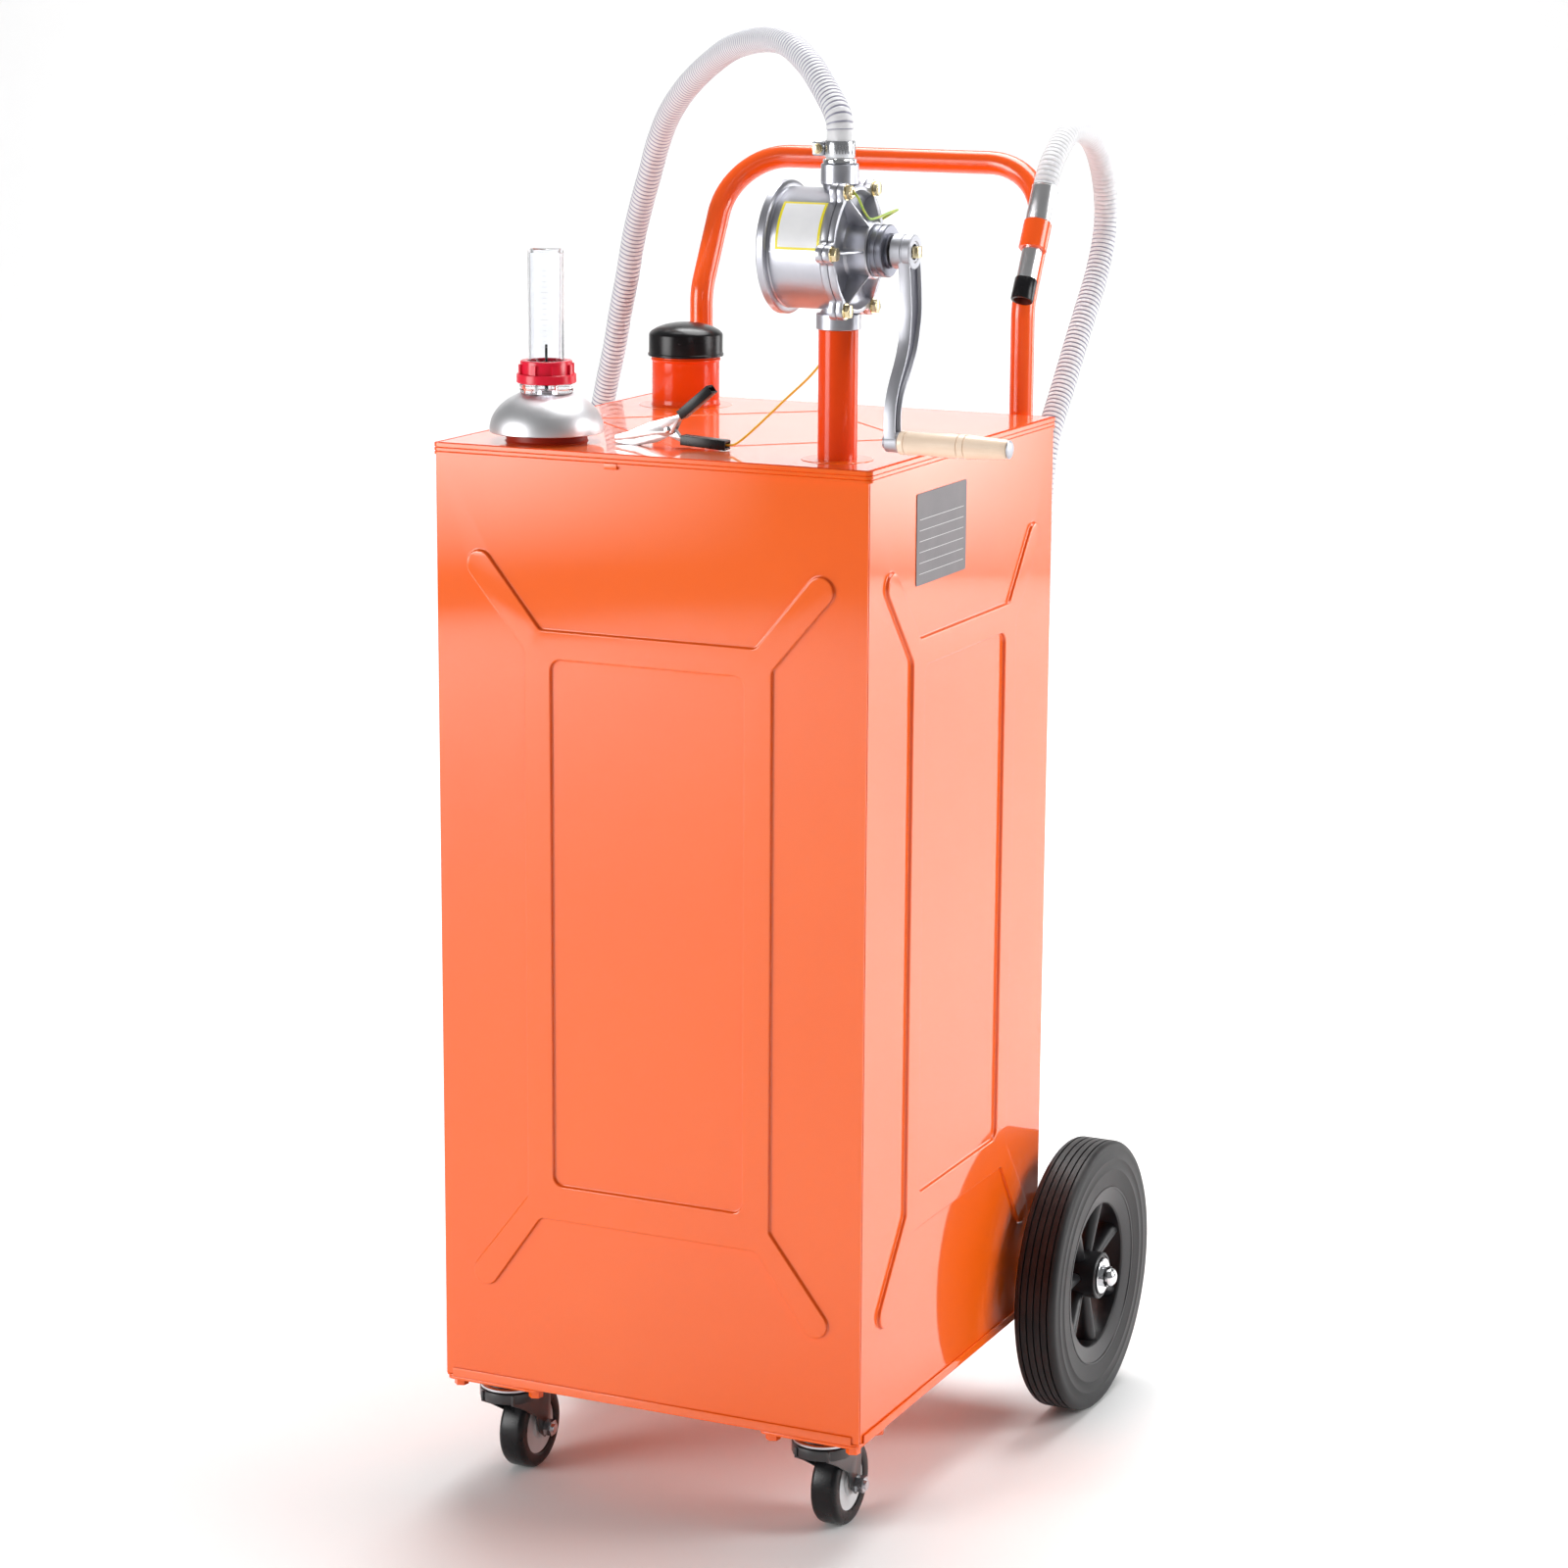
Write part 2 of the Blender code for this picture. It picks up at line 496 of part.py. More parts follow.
# Tank: four pressed sheets, a top plate with its rim, a bottom plate with its strips
def band_outline(wider):
    outer_half = band.outer_half + wider
    top_root_x, low_root_x = band.top_root_x + wider, band.low_root_x + wider
    root_high = (top_root_x + outer_half) / 2, (band.outer_high + band.side_root_high) / 2
    root_low = (low_root_x + outer_half) / 2, (band.outer_low + band.side_root_low) / 2
    right = []
    for root, end_z in ((root_high, band.arm_high), (root_low, band.arm_low)):
        end = Vector((band.arm_x + wider, end_z))
        run = (end - Vector(root)).normalized()
        side = Vector((-run.y, run.x))
        if end_z > root[1]:
            first = end + run * band.arm_half + side * band.arm_half
            last = end + run * band.arm_half - side * band.arm_half
            right += [(top_root_x, band.outer_high), first, last,
                      (outer_half, band.side_root_high)]
        else:
            first = end + run * band.arm_half + side * band.arm_half
            last = end + run * band.arm_half - side * band.arm_half
            right += [(outer_half, band.side_root_low), first, last,
                      (low_root_x, band.outer_low)]
    round_end = band.arm_half - gap
    radii = [band.bend, round_end, round_end, band.bend] * 2
    left = [(-corner[0], corner[1]) for corner in reversed(right)]
    return rounded(right + left, radii + radii)


def pressed_panel(name, half_width, out, turn, wider=0):
    outer = band_outline(wider)
    inner_half = band.inner_half + wider
    inner = rounded(
        [(inner_half, band.inner_high), (inner_half, band.inner_low),
         (-inner_half, band.inner_low), (-inner_half, band.inner_high)],
        [band.corner] * 4)
    low = tank.sheet + gap
    high = tank.plate_under - gap
    corners = [Vector(corner) for corner in (
        (half_width, high), (half_width, low), (-half_width, low), (-half_width, high))]
    shape = bmesh.new()

    def loop(outline, height):
        return [shape.verts.new((place[0], -out - height, place[1])) for place in outline]

    def close(line):
        return [shape.edges.new((one, other)) for one, other in zip(line, line[1:] + line[:1])]

    def skirt(one, other):
        count = len(one)
        for number in range(count):
            after = (number + 1) % count
            shape.faces.new((one[number], one[after], other[after], other[number]))

    edge = loop(corners, 0)
    low_outer = loop(shifted(outer, -band.slope), 0)
    high_outer = loop(outer, band.raised)
    high_inner = loop(inner, band.raised)
    low_inner = loop(shifted(inner, band.slope), 0)
    ring_edges = close(edge) + close(low_outer)
    bmesh.ops.triangle_fill(shape, edges=ring_edges, use_beauty=True)
    skirt(low_outer, high_outer)
    band_edges = [shape.edges.get((one, other))
                  for one, other in zip(high_outer, high_outer[1:] + high_outer[:1])]
    bmesh.ops.triangle_fill(shape, edges=band_edges + close(high_inner), use_beauty=True)
    skirt(high_inner, low_inner)
    shape.faces.new(low_inner)
    bmesh.ops.recalc_face_normals(shape, faces=shape.faces)
    shape.normal_update()
    middle = max(shape.faces, key=lambda face: len(face.verts))
    if middle.normal.y > 0:
        bmesh.ops.reverse_faces(shape, faces=shape.faces)
    mesh = bpy.data.meshes.new(name)
    shape.to_mesh(mesh)
    shape.free()
    piece = take(name, mesh, (0, 0, 0), orange, (0, 0, turn))
    thick = piece.modifiers.new("sheet", "SOLIDIFY")
    thick.thickness = tank.sheet
    thick.offset = -1
    return piece


front_half = tank.side - band.corner_back
side_half = -tank.front - tank.sheet - gap
side_wider = tank.rear - band.depth_back - tank.side
pressed_panel("tank_front_panel", front_half, -tank.front, 0)
pressed_panel("tank_right_panel", side_half, tank.side, quarter_turn, side_wider)
pressed_panel("tank_rear_panel", front_half, -tank.front, half_turn)
pressed_panel("tank_left_panel", side_half, tank.side, -quarter_turn, side_wider)


def tray(name, levels, material, at=(0, 0, 0)):
    shape = bmesh.new()
    loops = []
    for out, height, corner in levels:
        half_x = tank.side + out
        half_y = -tank.front + out
        outline = rounded([(half_x, half_y), (half_x, -half_y), (-half_x, -half_y),
                           (-half_x, half_y)], [corner] * 4)
        loops.append([shape.verts.new((*place, height)) for place in outline])
    count = len(loops[0])
    for one, other in zip(loops, loops[1:]):
        for number in range(count):
            after = (number + 1) % count
            shape.faces.new((one[number], one[after], other[after], other[number]))
    shape.faces.new(loops[0])
    shape.faces.new(loops[-1])
    bmesh.ops.recalc_face_normals(shape, faces=shape.faces)
    mesh = bpy.data.meshes.new(name)
    shape.to_mesh(mesh)
    shape.free()
    return take(name, mesh, at, material)


rim_out = gap + rim.thick
rim_tall = rim.high - rim.low
rim_levels = [(gap, tank.plate_under, rim.corner), (gap, rim.low, rim.corner),
              (rim_out, rim.low, rim.corner + rim.thick)]
for number, share in enumerate(rim.groove_shares):
    deep = rim.groove if number % 3 == 1 else 0
    rim_levels.append((rim_out - deep, rim.low + rim_tall * share, rim.corner + rim.thick - deep))
rim_levels += [(rim_out, rim.high - rim.edge, rim.corner + rim.thick),
               (rim_out - rim.edge, rim.high, rim.corner + rim.thick - rim.edge),
               (rim_out - rim.land, rim.high, rim.corner),
               (rim_out - rim.land - rim.slope, tank.height, rim.corner)]
top = tray("tank_top", rim_levels, orange)


def raised_ring(name, inner, outer, high, x, y, round_share=0.5):
    start = tank.height - tank.sheet / 2
    edge = (high - tank.height) * round_share
    return turned(name, [(inner, high), (outer - edge, high), (outer, high - edge),
                         (outer, start), (inner, start)], (x, y, 0), ring=True)


add(top,
    raised_ring("filler_ring", filler.ring_in, filler.ring, tank.height + filler.ring_high,
                filler.x, filler.y),
    raised_ring("gauge_ring", gauge.base_in, gauge.base, gauge.base_high, gauge.x, gauge.y,
                gauge.base_round_share),
    raised_ring("riser_ring", riser.ring_in, riser.ring, tank.height + riser.ring_high,
                pump.x, pump.y),
    tube("bead", [(bead.left, 0, tank.height - bead.sink), (0, bead.rear, tank.height - bead.sink),
                  (bead.right, 0, tank.height - bead.sink),
                  (0, bead.front, tank.height - bead.sink)], bead.radius, ring=True),
    box("rim_tab", (rim.tab_low_x, tank.front - rim_out - rim.tab_out, rim.low - rim.tab_drop),
        (rim.tab_high_x, tank.front - rim_out + rim.thick / 2, rim.low + rim.tab_rise)))
hole_low = rim.low
cut(top,
    rod("filler_hole", filler.radius + gap, hole_low, rim.high, at=(filler.x, filler.y, 0),
        sides=fine_steps),
    rod("gauge_hole", gauge.hole, hole_low, rim.high, at=(gauge.x, gauge.y, 0)),
    rod("riser_hole", riser.radius + gap, hole_low, rim.high, at=(pump.x, pump.y, 0),
        sides=fine_steps))

bottom_out = gap + foot.strip_thick
bottom = tray("tank_bottom", [(bottom_out, 0, foot.corner), (bottom_out, tank.sheet, foot.corner)],
              orange)
strip_x = tank.side - foot.strip_end
strip_y = -tank.front - foot.strip_end
out_x = tank.side + gap
out_y = -tank.front + gap
lap = tank.sheet / 2
add(bottom,
    box("front_strip", (-strip_x, -out_y - foot.strip_thick, lap), (strip_x, -out_y, foot.strip_high)),
    box("rear_strip", (-strip_x, out_y, lap), (strip_x, out_y + foot.strip_thick, foot.strip_high)),
    box("left_strip", (-out_x - foot.strip_thick, -strip_y, lap), (-out_x, strip_y, foot.strip_high)),
    box("right_strip", (out_x, -strip_y, lap), (out_x + foot.strip_thick, strip_y, foot.strip_high)))

# Filler neck, cap and gasket
neck_out = filler.radius + filler.bead_out
turned("filler_neck", [
    (filler.radius, filler.high), (filler.radius, filler.bead_high + filler.bead_half),
    (neck_out, filler.bead_high), (filler.radius, filler.bead_high - filler.bead_half),
    (filler.radius, filler.low), (filler.bore, filler.low), (filler.bore, filler.high)],
    (filler.x, filler.y, 0), orange, ring=True)

cap_rise = cap.high - cap.shoulder
crown = [(cap.radius * math.sin(turn), cap.shoulder + cap_rise * math.cos(turn))
         for turn in (quarter_turn * step / 4 for step in range(5))]
turned("filler_cap", crown + [
    (cap.radius, cap.lip_high), (cap.lip, cap.lip_high - gap), (cap.lip, cap.low),
    (neck_out + gap, cap.low), (neck_out + gap, cap.land_under), (cap.land_in, cap.land_under),
    (cap.crown_in, cap.crown_under), (0, cap.crown_under)],
    (filler.x, filler.y, 0), black)
turned("cap_gasket", [
    (filler.radius, cap.land_under - gap), (filler.radius, filler.high + gap),
    (cap.gasket_in, filler.high + gap), (cap.gasket_in, cap.land_under - gap)],
    (filler.x, filler.y, 0), rubber, ring=True)

# Float gauge
gauge_at = (gauge.x, gauge.y, 0)
dome_start = math.asin(gauge.dome_top / gauge.dome_rim)
dome_rise = (gauge.dome_high - gauge.dome_rim_high) / math.cos(dome_start)
dome_turns = [dome_start + (quarter_turn - dome_start) * step / 5 for step in range(6)]
dome_out = [(gauge.dome_rim * math.sin(turn), gauge.dome_rim_high + dome_rise * math.cos(turn))
            for turn in dome_turns]
dome_in = [((gauge.dome_rim - gauge.wall) * math.sin(turn),
            gauge.dome_rim_high + (dome_rise - gauge.wall) * math.cos(turn))
           for turn in reversed(dome_turns)]
stem_out = stem.radius + gap
turned("gauge_dome", [(stem_out, gauge.dome_high)] + dome_out + [
    (gauge.dome_rim, gauge.base_high + gap), (gauge.base_in, gauge.base_high + gap),
    (gauge.base_in, gauge.dome_rim_high)] + dome_in + [
    (stem_out, gauge.dome_high - gauge.wall)], gauge_at, steel, ring=True)
turned("gauge_neck", [
    (gauge.neck_bore, gauge.neck_high), (gauge.neck, gauge.neck_high),
    (gauge.neck, gauge.dome_high + gap), (gauge.neck_bore, gauge.dome_high + gap)],
    gauge_at, clear, ring=True)
nut_low = gauge.neck_high + gap
turned("gauge_ring_nut", [
    (gauge.tube + gap, gauge.nut_top), (gauge.nut_high, gauge.nut_top),
    (gauge.nut_high, gauge.nut_low_high), (gauge.nut_low, gauge.nut_low_high),
    (gauge.nut_low, nut_low), (gauge.flange + gap, nut_low),
    (gauge.flange + gap, gauge.flange_high + gap), (gauge.tube + gap, gauge.flange_high + gap)],
    gauge_at, red_nut, ring=True)
sight_in = gauge.tube - gauge.sight_wall
sight_in_top = gauge.tube_top - gauge.sight_wall
turned("gauge_sight_tube", [
    (0, gauge.sight_top), (gauge.tube_top, gauge.sight_top), (gauge.tube_top, gauge.nut_top + gap),
    (gauge.tube, gauge.nut_top), (gauge.tube, gauge.flange_high), (gauge.flange, gauge.flange_high),
    (gauge.flange, nut_low), (sight_in, nut_low), (sight_in_top, gauge.nut_top),
    (sight_in_top, gauge.sight_top - gauge.sight_wall), (0, gauge.sight_top - gauge.sight_wall)],
    gauge_at, clear)

rest = math.radians(stem.rest_deg)
arm_drop = stem.pivot_back * math.tan(rest)
arm_top = stem.arm / math.cos(rest)
rod_foot = stem.pivot_z - arm_drop + arm_top + stem.rod_rest_gap
turned("gauge_indicator_rod", [
    (0, gauge.rod_top), (gauge.rod_cap, gauge.rod_top),
    (gauge.rod_cap, gauge.rod_top - gauge.rod_cap_thick),
    (gauge.rod, gauge.rod_top - gauge.rod_cap_thick), (gauge.rod, rod_foot), (0, rod_foot)],
    gauge_at, black, steps=plain_steps)

stem_high = gauge.dome_high + gap + stem.flange
pivot_x = gauge.x - stem.pivot_back
guide = turned("gauge_stem", [
    (stem.bore, stem_high), (gauge.neck_bore - gap, stem_high),
    (gauge.neck_bore - gap, gauge.dome_high + gap), (stem.radius, gauge.dome_high + gap),
    (stem.radius, stem.low), (stem.bore, stem.low)], gauge_at, brass, steps=plain_steps, ring=True)
plate_y = gauge.y - stem.plate_front
hanger = slab("stem_hanger", [[
    (gauge.x + stem.radius, stem.low), (gauge.x + stem.radius, stem.plate_high),
    (gauge.x - stem.radius, stem.plate_high), (pivot_x - stem.plate_low_half, stem.pivot_z),
    (pivot_x, stem.pivot_z - stem.plate_low_half),
    (pivot_x + stem.plate_low_half, stem.pivot_z)]], plate_y, plate_y + stem.plate_thick, facing="Y")
add(guide, hanger,
    box("stem_block", (gauge.x - stem.radius, plate_y + stem.plate_thick / 2, stem.low + stem.radius),
        (gauge.x + stem.radius, gauge.y - stem.bore - gap, stem.plate_high)),
    rod("stem_pin", stem.pin, plate_y + stem.plate_thick / 2, gauge.y + stem.pin_end, "Y",
        offset=(pivot_x, 0, stem.pivot_z)))

pivot_at = (pivot_x, gauge.y, stem.pivot_z)
arm_turn = (0, quarter_turn + rest, 0)
arm = rod("gauge_float_arm", stem.arm, stem.arm_eye * stem.arm_root_share, stem.arm_long, at=pivot_at,
          material=brass, turn=arm_turn, sides=16)
add(arm, rod("arm_eye", stem.arm_eye, -stem.arm_thick / 2, stem.arm_thick / 2, "Y", at=pivot_at,
             turn=arm_turn))
cut(arm, rod("arm_bore", stem.pin + gap, -stem.arm_thick, stem.arm_thick, "Y", at=pivot_at,
             turn=arm_turn))
float_low = stem.float_at - stem.float_half
float_high = stem.float_at + stem.float_half
float_round = stem.float_radius / 3
turned("gauge_float", [
    (stem.arm + gap, float_high), (stem.float_radius - float_round, float_high),
    (stem.float_radius, float_high - float_round), (stem.float_radius, float_low + float_round),
    (stem.float_radius - float_round, float_low), (stem.arm + gap, float_low)],
    pivot_at, black, steps=plain_steps, turn=arm_turn, ring=True)

# Riser and suction pipe
riser_at = (pump.x, pump.y, 0)
turned("pump_riser", [
    (riser.tip, riser.high), (riser.tip, riser.shoulder), (riser.radius, riser.shoulder),
    (riser.radius, riser.low), (riser.bore, riser.low), (riser.bore, riser.high)],
    riser_at, orange, ring=True)
suction = turned("suction_tube", [
    (riser.suction, riser.suction_high), (riser.suction, riser.suction_low),
    (riser.suction_bore, riser.suction_low), (riser.suction_bore, riser.suction_high)],
    riser_at, steel, steps=plain_steps, ring=True)
cut(suction, box("suction_notch", (0, -riser.radius, 0), (riser.radius, riser.radius, riser.notch_high),
                 riser_at))

# Pump, with its axis along X
pump_at = (0, pump.y, pump.z)
shaft_bore = pump.shaft + gap
body = turned("pump_body", [
    (0, pump.joint), (pump.flange, pump.joint), (pump.flange, pump.flange_low),
    (pump.body, pump.flange_low), (pump.body, pump.disc_high), (pump.disc, pump.disc_high),
    (pump.disc, pump.disc_low), (0, pump.disc_low)], pump_at, cast, "X")
ear_turns = [half_turn * number / 3 for number in range(6)]
ears = [(0, pump.ear_at * math.cos(turn), pump.ear_at * math.sin(turn)) for turn in ear_turns]
add(body, *[rod(f"body_ear_{number}", pump.ear, pump.flange_low, pump.joint, "X", pump_at, offset=ear,
                sides=12)
            for number, ear in enumerate(ears)])
add(body,
    rod("inlet_spigot", inlet.radius, inlet.low, inlet.high, at=riser_at, sides=fine_steps),
    rod("inlet_neck", inlet.neck, inlet.high - gap, inlet.neck_high, at=riser_at),
    rod("outlet_spigot", outlet.radius, outlet.low, outlet.high, at=riser_at, sides=fine_steps),
    rod("outlet_neck", outlet.neck, outlet.neck_low, outlet.low + gap, at=riser_at))
cut(body,
    rod("cavity", pump.cavity, pump.cavity_low, pump.cover_high, "X", pump_at, sides=fine_steps,
        offset=(0, 0, -pump.cavity_drop)),
    rod("inlet_seat", inlet.seat, inlet.low - gap, inlet.seat_high, at=riser_at,
        sides=fine_steps),
    rod("inlet_bore", inlet.bore, inlet.low - gap, pump.z - pump.cavity / 2, at=riser_at),
    rod("outlet_bore", outlet.bore, pump.z + pump.cavity / 2, outlet.lip_high, at=riser_at))

cover = turned("pump_cover", [
    (shaft_bore, pump.boss_high), (pump.boss, pump.boss_high), (pump.boss, pump.cone_high),
    (pump.cone_root, pump.cover_high), (pump.flange, pump.cover_high),
    (pump.flange, pump.joint + gap), (shaft_bore, pump.joint + gap)], pump_at, cast, "X", ring=True)
add(cover, *[rod(f"cover_ear_{number}", pump.ear, pump.joint + gap, pump.cover_high, "X", pump_at,
                 offset=ear, sides=12) for number, ear in enumerate(ears)])
rib_low = (pump.joint + pump.cover_high) / 2
for number, turn in enumerate(ear_turns):
    rib = slab(f"rib_{number}", [[
        (rib_low, pump.rib_in), (rib_low, pump.rib_out), (pump.rib_out_high, pump.rib_out),
        (pump.rib_in_high, pump.rib_in)]], -pump.rib_half, pump.rib_half, pump_at)
    rib.rotation_euler = (turn, 0, 0)
    add(cover, rib)
add(cover, *[rod(f"cover_bolt_{number}", pump.bolt / math.cos(half_turn / 6), rib_low,
                 pump.bolt_high, "X", pump_at, sides=6, offset=ear, spin=number)
             for number, ear in enumerate(ears)])

turned("gland_nut", [
    (pump.gland_step, pump.gland_end), (pump.gland_step, pump.gland_high),
    (pump.gland, pump.gland_high), (pump.gland, pump.boss_high + gap),
    (shaft_bore, pump.boss_high + gap), (shaft_bore, pump.gland_end)],
    pump_at, cast, "X", ring=True)

drum_low = pump.cavity_low + gap
drum_high = pump.joint - gap
square_root = pump.square_low - gap
rotor = turned("pump_rotor", [
    (0, pump.square_low), (pump.shaft, pump.square_low), (pump.shaft, drum_high),
    (pump.rotor, drum_high), (pump.rotor, drum_low), (0, drum_low)], pump_at, brass, "X")
add(rotor, box("shaft_square", (square_root, -pump.square, -pump.square),
               (pump.shaft_end, pump.square, pump.square), pump_at))
slot_half = pump.vane_half + gap
vane_low = pump.vane_in + gap
vane_high = pump.rotor - gap
for number, side in enumerate((1, -1), start=1):
    near, far = sorted((side * pump.vane_in, side * pump.cavity))
    cut(rotor, box(f"slot_{number}", (pump.disc_high, near, -slot_half),
                   (pump.cover_high, far, slot_half), pump_at))
    near, far = sorted((side * vane_low, side * vane_high))
    box(f"pump_vane_{number}", (drum_low, near, -pump.vane_half),
        (drum_high, far, pump.vane_half), pump_at, brass)

# Outlet barb and worm clamp
ridges = []
ridge_root = outlet.barb_high
while ridge_root - outlet.barb_pitch > outlet.lip_high:
    ridge_foot = ridge_root - outlet.barb_pitch * outlet.ridge_share
    ridges += [(outlet.barb_neck, ridge_root), (outlet.barb, ridge_foot),
               (outlet.barb_neck, ridge_foot)]
    ridge_root -= outlet.barb_pitch
turned("outlet_barb", ridges + [
    (outlet.barb_neck, outlet.lip_high), (outlet.lip, outlet.lip_high),
    (outlet.lip, outlet.high + gap), (outlet.bore - gap, outlet.high + gap),
    (outlet.bore - gap, outlet.tail_low), (outlet.barb_bore, outlet.tail_low),
    (outlet.barb_bore, outlet.barb_high)], riser_at, steel, steps=plain_steps, ring=True)
clamp_out = clamp.inner + clamp.thick
worm = turned("outlet_clamp", [
    (clamp_out, clamp.high), (clamp_out, clamp.low), (clamp.inner, clamp.low),
    (clamp.inner, clamp.high)], riser_at, steel, ring=True)
clamp_middle = (clamp.low + clamp.high) / 2
screw_x = (clamp.house_low_x + clamp.house_high_x) / 2
add(worm,
    box("clamp_house", (clamp.house_low_x, -clamp.house_half, clamp.low + clamp.thick),
        (-clamp.inner - gap, clamp.house_half, clamp.high - clamp.thick), riser_at),
    rod("clamp_screw", clamp.house_half / 2, -clamp.house_half * clamp.screw_low_share,
        clamp.house_half * clamp.screw_high_share, "Y",
        riser_at, offset=(screw_x, 0, clamp_middle), sides=6))
cut(worm, rod("clamp_bore", clamp.inner, clamp.low - gap, clamp.high + gap, at=riser_at,
              sides=fine_steps))

# Crank arm with its square hole, grip and the bolt through it
def crank_outline():
    line = smooth_route(list(zip(crank.line_y, crank.line_z, crank.half)), 13)
    left = []
    right = []
    for number, place in enumerate(line):
        run = line[min(number + 1, len(line) - 1)] - line[max(number - 1, 0)]
        side = Vector((run.y, -run.x)).normalized() * place.z
        left.append(place.xy + side)
        right.append(place.xy - side)
    return left + right[::-1]


eye_at = (0, crank.eye_y, crank.eye_z)
arm_piece = slab("crank_arm", [crank_outline()], crank.arm_low, crank.arm_high, pump_at, cast, "X")
add(arm_piece,
    rod("crank_hub", crank.hub, crank.hub_low, crank.hub_high, "X", pump_at),
    rod("crank_eye", crank.eye, crank.arm_low - gap, crank.hub_high, "X", eye_at))
cut(arm_piece,
    box("crank_square", (crank.hub_low - gap, -pump.square - gap, -pump.square - gap),
        (crank.hub_high + gap, pump.square + gap, pump.square + gap), pump_at),
    rod("crank_hole", crank.bolt + gap, crank.hub_low, crank.hub_high + gap, "X", eye_at))

groove_low = grip.groove_low + grip.groove_half
groove_high = grip.groove_high + grip.groove_half
grip_rise = grip.high - grip.low
ring_wide = grip.groove_half * 2
turned("crank_grip", [
    (grip.end * grip.end_share, grip.high), (grip.end, grip.high - grip_rise / 30),
    (grip.end, grip.high - grip_rise / 6), (grip.waist, groove_high),
    (grip.waist - grip.groove, groove_high - grip.groove_half),
    (grip.waist, groove_high - ring_wide), (grip.waist, groove_low),
    (grip.waist - grip.groove, groove_low - grip.groove_half),
    (grip.waist, groove_low - ring_wide), (grip.belly, grip.low + grip_rise / 2),
    (grip.waist, grip.low + grip_rise / 4), (grip.root, grip.low + grip_rise / 12),
    (grip.root, grip.low), (grip.bore, grip.low), (grip.bore, grip.high)],
    eye_at, wood, "X", steps=16, ring=True)
head_thick = grip.cap_high - grip.cap_low
turned("grip_bolt", [
    (0, grip.cap_high), (grip.cap * grip.cap_share, grip.cap_high - head_thick / 5),
    (grip.cap, grip.cap_high - head_thick / 2), (grip.cap, grip.cap_low),
    (crank.bolt, grip.cap_low), (crank.bolt, crank.arm_low - gap * 2),
    (crank.eye * crank.head_share, crank.arm_low - gap * 2),
    (crank.eye * crank.head_share, crank.arm_low - head_thick), (0, crank.arm_low - head_thick)],
    eye_at, steel, "X", steps=plain_steps)

# Push handle: one bent tube with four feet on the tank
def bent(corners, radii, steps=4):
    corners = [Vector(corner) for corner in corners]
    route = [corners[0]]
    for back, here, ahead, radius in zip(corners, corners[1:], corners[2:], radii):
        into = (back - here).normalized()
        out = (ahead - here).normalized()
        half = into.angle(out) / 2
        reach = radius / math.tan(half)
        centre = here + (into + out).normalized() * radius / math.sin(half)
        first = here + into * reach - centre
        last = here + out * reach - centre
        axis = first.cross(last)
        sweep = first.angle(last)
        route += [centre + Matrix.Rotation(sweep * step / steps, 3, axis) @ first
                  for step in range(steps + 1)]
    return route + [corners[-1]]


lean = math.radians(handle.lean_deg)
handle_top_y = handle.y + (handle.top_z - handle.kink_z) * math.tan(lean)


def handle_route(past=0.0):
    low = handle.low - past
    return bent([(-handle.x, handle.y, low), (-handle.x, handle.y, handle.kink_z),
                 (-handle.x, handle_top_y, handle.top_z), (handle.x, handle_top_y, handle.top_z),
                 (handle.x, handle.y, handle.kink_z), (handle.x, handle.y, low)],
                [handle.kink_radius, handle.corner_radius, handle.corner_radius,
                 handle.kink_radius])


push = tube("push_handle", handle_route(), handle.radius, orange, smooth=False)
foot_front = -tank.front + gap
for number, (side, high) in enumerate(
        (side, high) for side in (-1, 1) for high in (handle.foot_low, handle.foot_high)):
    add(push,
        box(f"foot_{number}", (side * handle.x - handle.foot_half / 2, foot_front, high - handle.foot_half),
            (side * handle.x + handle.foot_half / 2, handle.y, high + handle.foot_half)),
        box(f"foot_plate_{number}", (side * handle.x - handle.foot_wide, foot_front,
                                     high - handle.foot_wide - handle.foot_thick),
            (side * handle.x + handle.foot_wide, foot_front + handle.foot_thick,
             high + handle.foot_wide + handle.foot_thick)))
cut(push, tube("handle_bore", handle_route(handle.radius), handle.radius - handle.wall,
               roundness=1))

# Rear axle, its bracket, two wheels and two acorn nuts
axle_at = (0, wheel.y, wheel.z)
collar_high = wheel.hub_low - gap
half_axle = [(axle.thread, axle.end), (axle.thread, axle.shoulder), (axle.radius, axle.shoulder),
             (axle.radius, collar_high), (axle.collar, collar_high),
             (axle.collar, axle.collar_low), (axle.radius, axle.collar_low)]
turned("rear_axle", [(0, axle.end)] + half_axle
       + [(radius, -place) for radius, place in reversed(half_axle)] + [(0, -axle.end)],
       axle_at, steel, "X", steps=plain_steps)
bracket_front = tank.rear + gap
mount = box("axle_bracket", (-bracket.half, bracket_front, bracket.low),
            (bracket.half, bracket.rear, bracket.high), material=orange)
cut(mount,
    box("bracket_hollow", (bracket.wall - bracket.half, bracket_front + bracket.wall, 0),
        (bracket.half - bracket.wall, bracket.rear - bracket.wall, bracket.high - bracket.wall)),
    rod("bracket_bore", wheel.bore, -bracket.half - gap, bracket.half + gap, "X", axle_at))

tyre_in = wheel.rim + gap
tread_low = wheel.low_x + wheel.shoulder
tread_high = wheel.high_x - wheel.shoulder
round_share = 1 - math.sqrt(0.5)


def tyre_profile():
    bend = wheel.shoulder * round_share
    crown = [(wheel.radius - wheel.shoulder, wheel.high_x),
             (wheel.radius - bend, wheel.high_x - bend), (wheel.radius, tread_high)]
    crown += [(wheel.radius, tread_low), (wheel.radius - bend, wheel.low_x + bend),
              (wheel.radius - wheel.shoulder, wheel.low_x)]
    return crown + [(tyre_in, wheel.low_x), (tyre_in, wheel.high_x)]


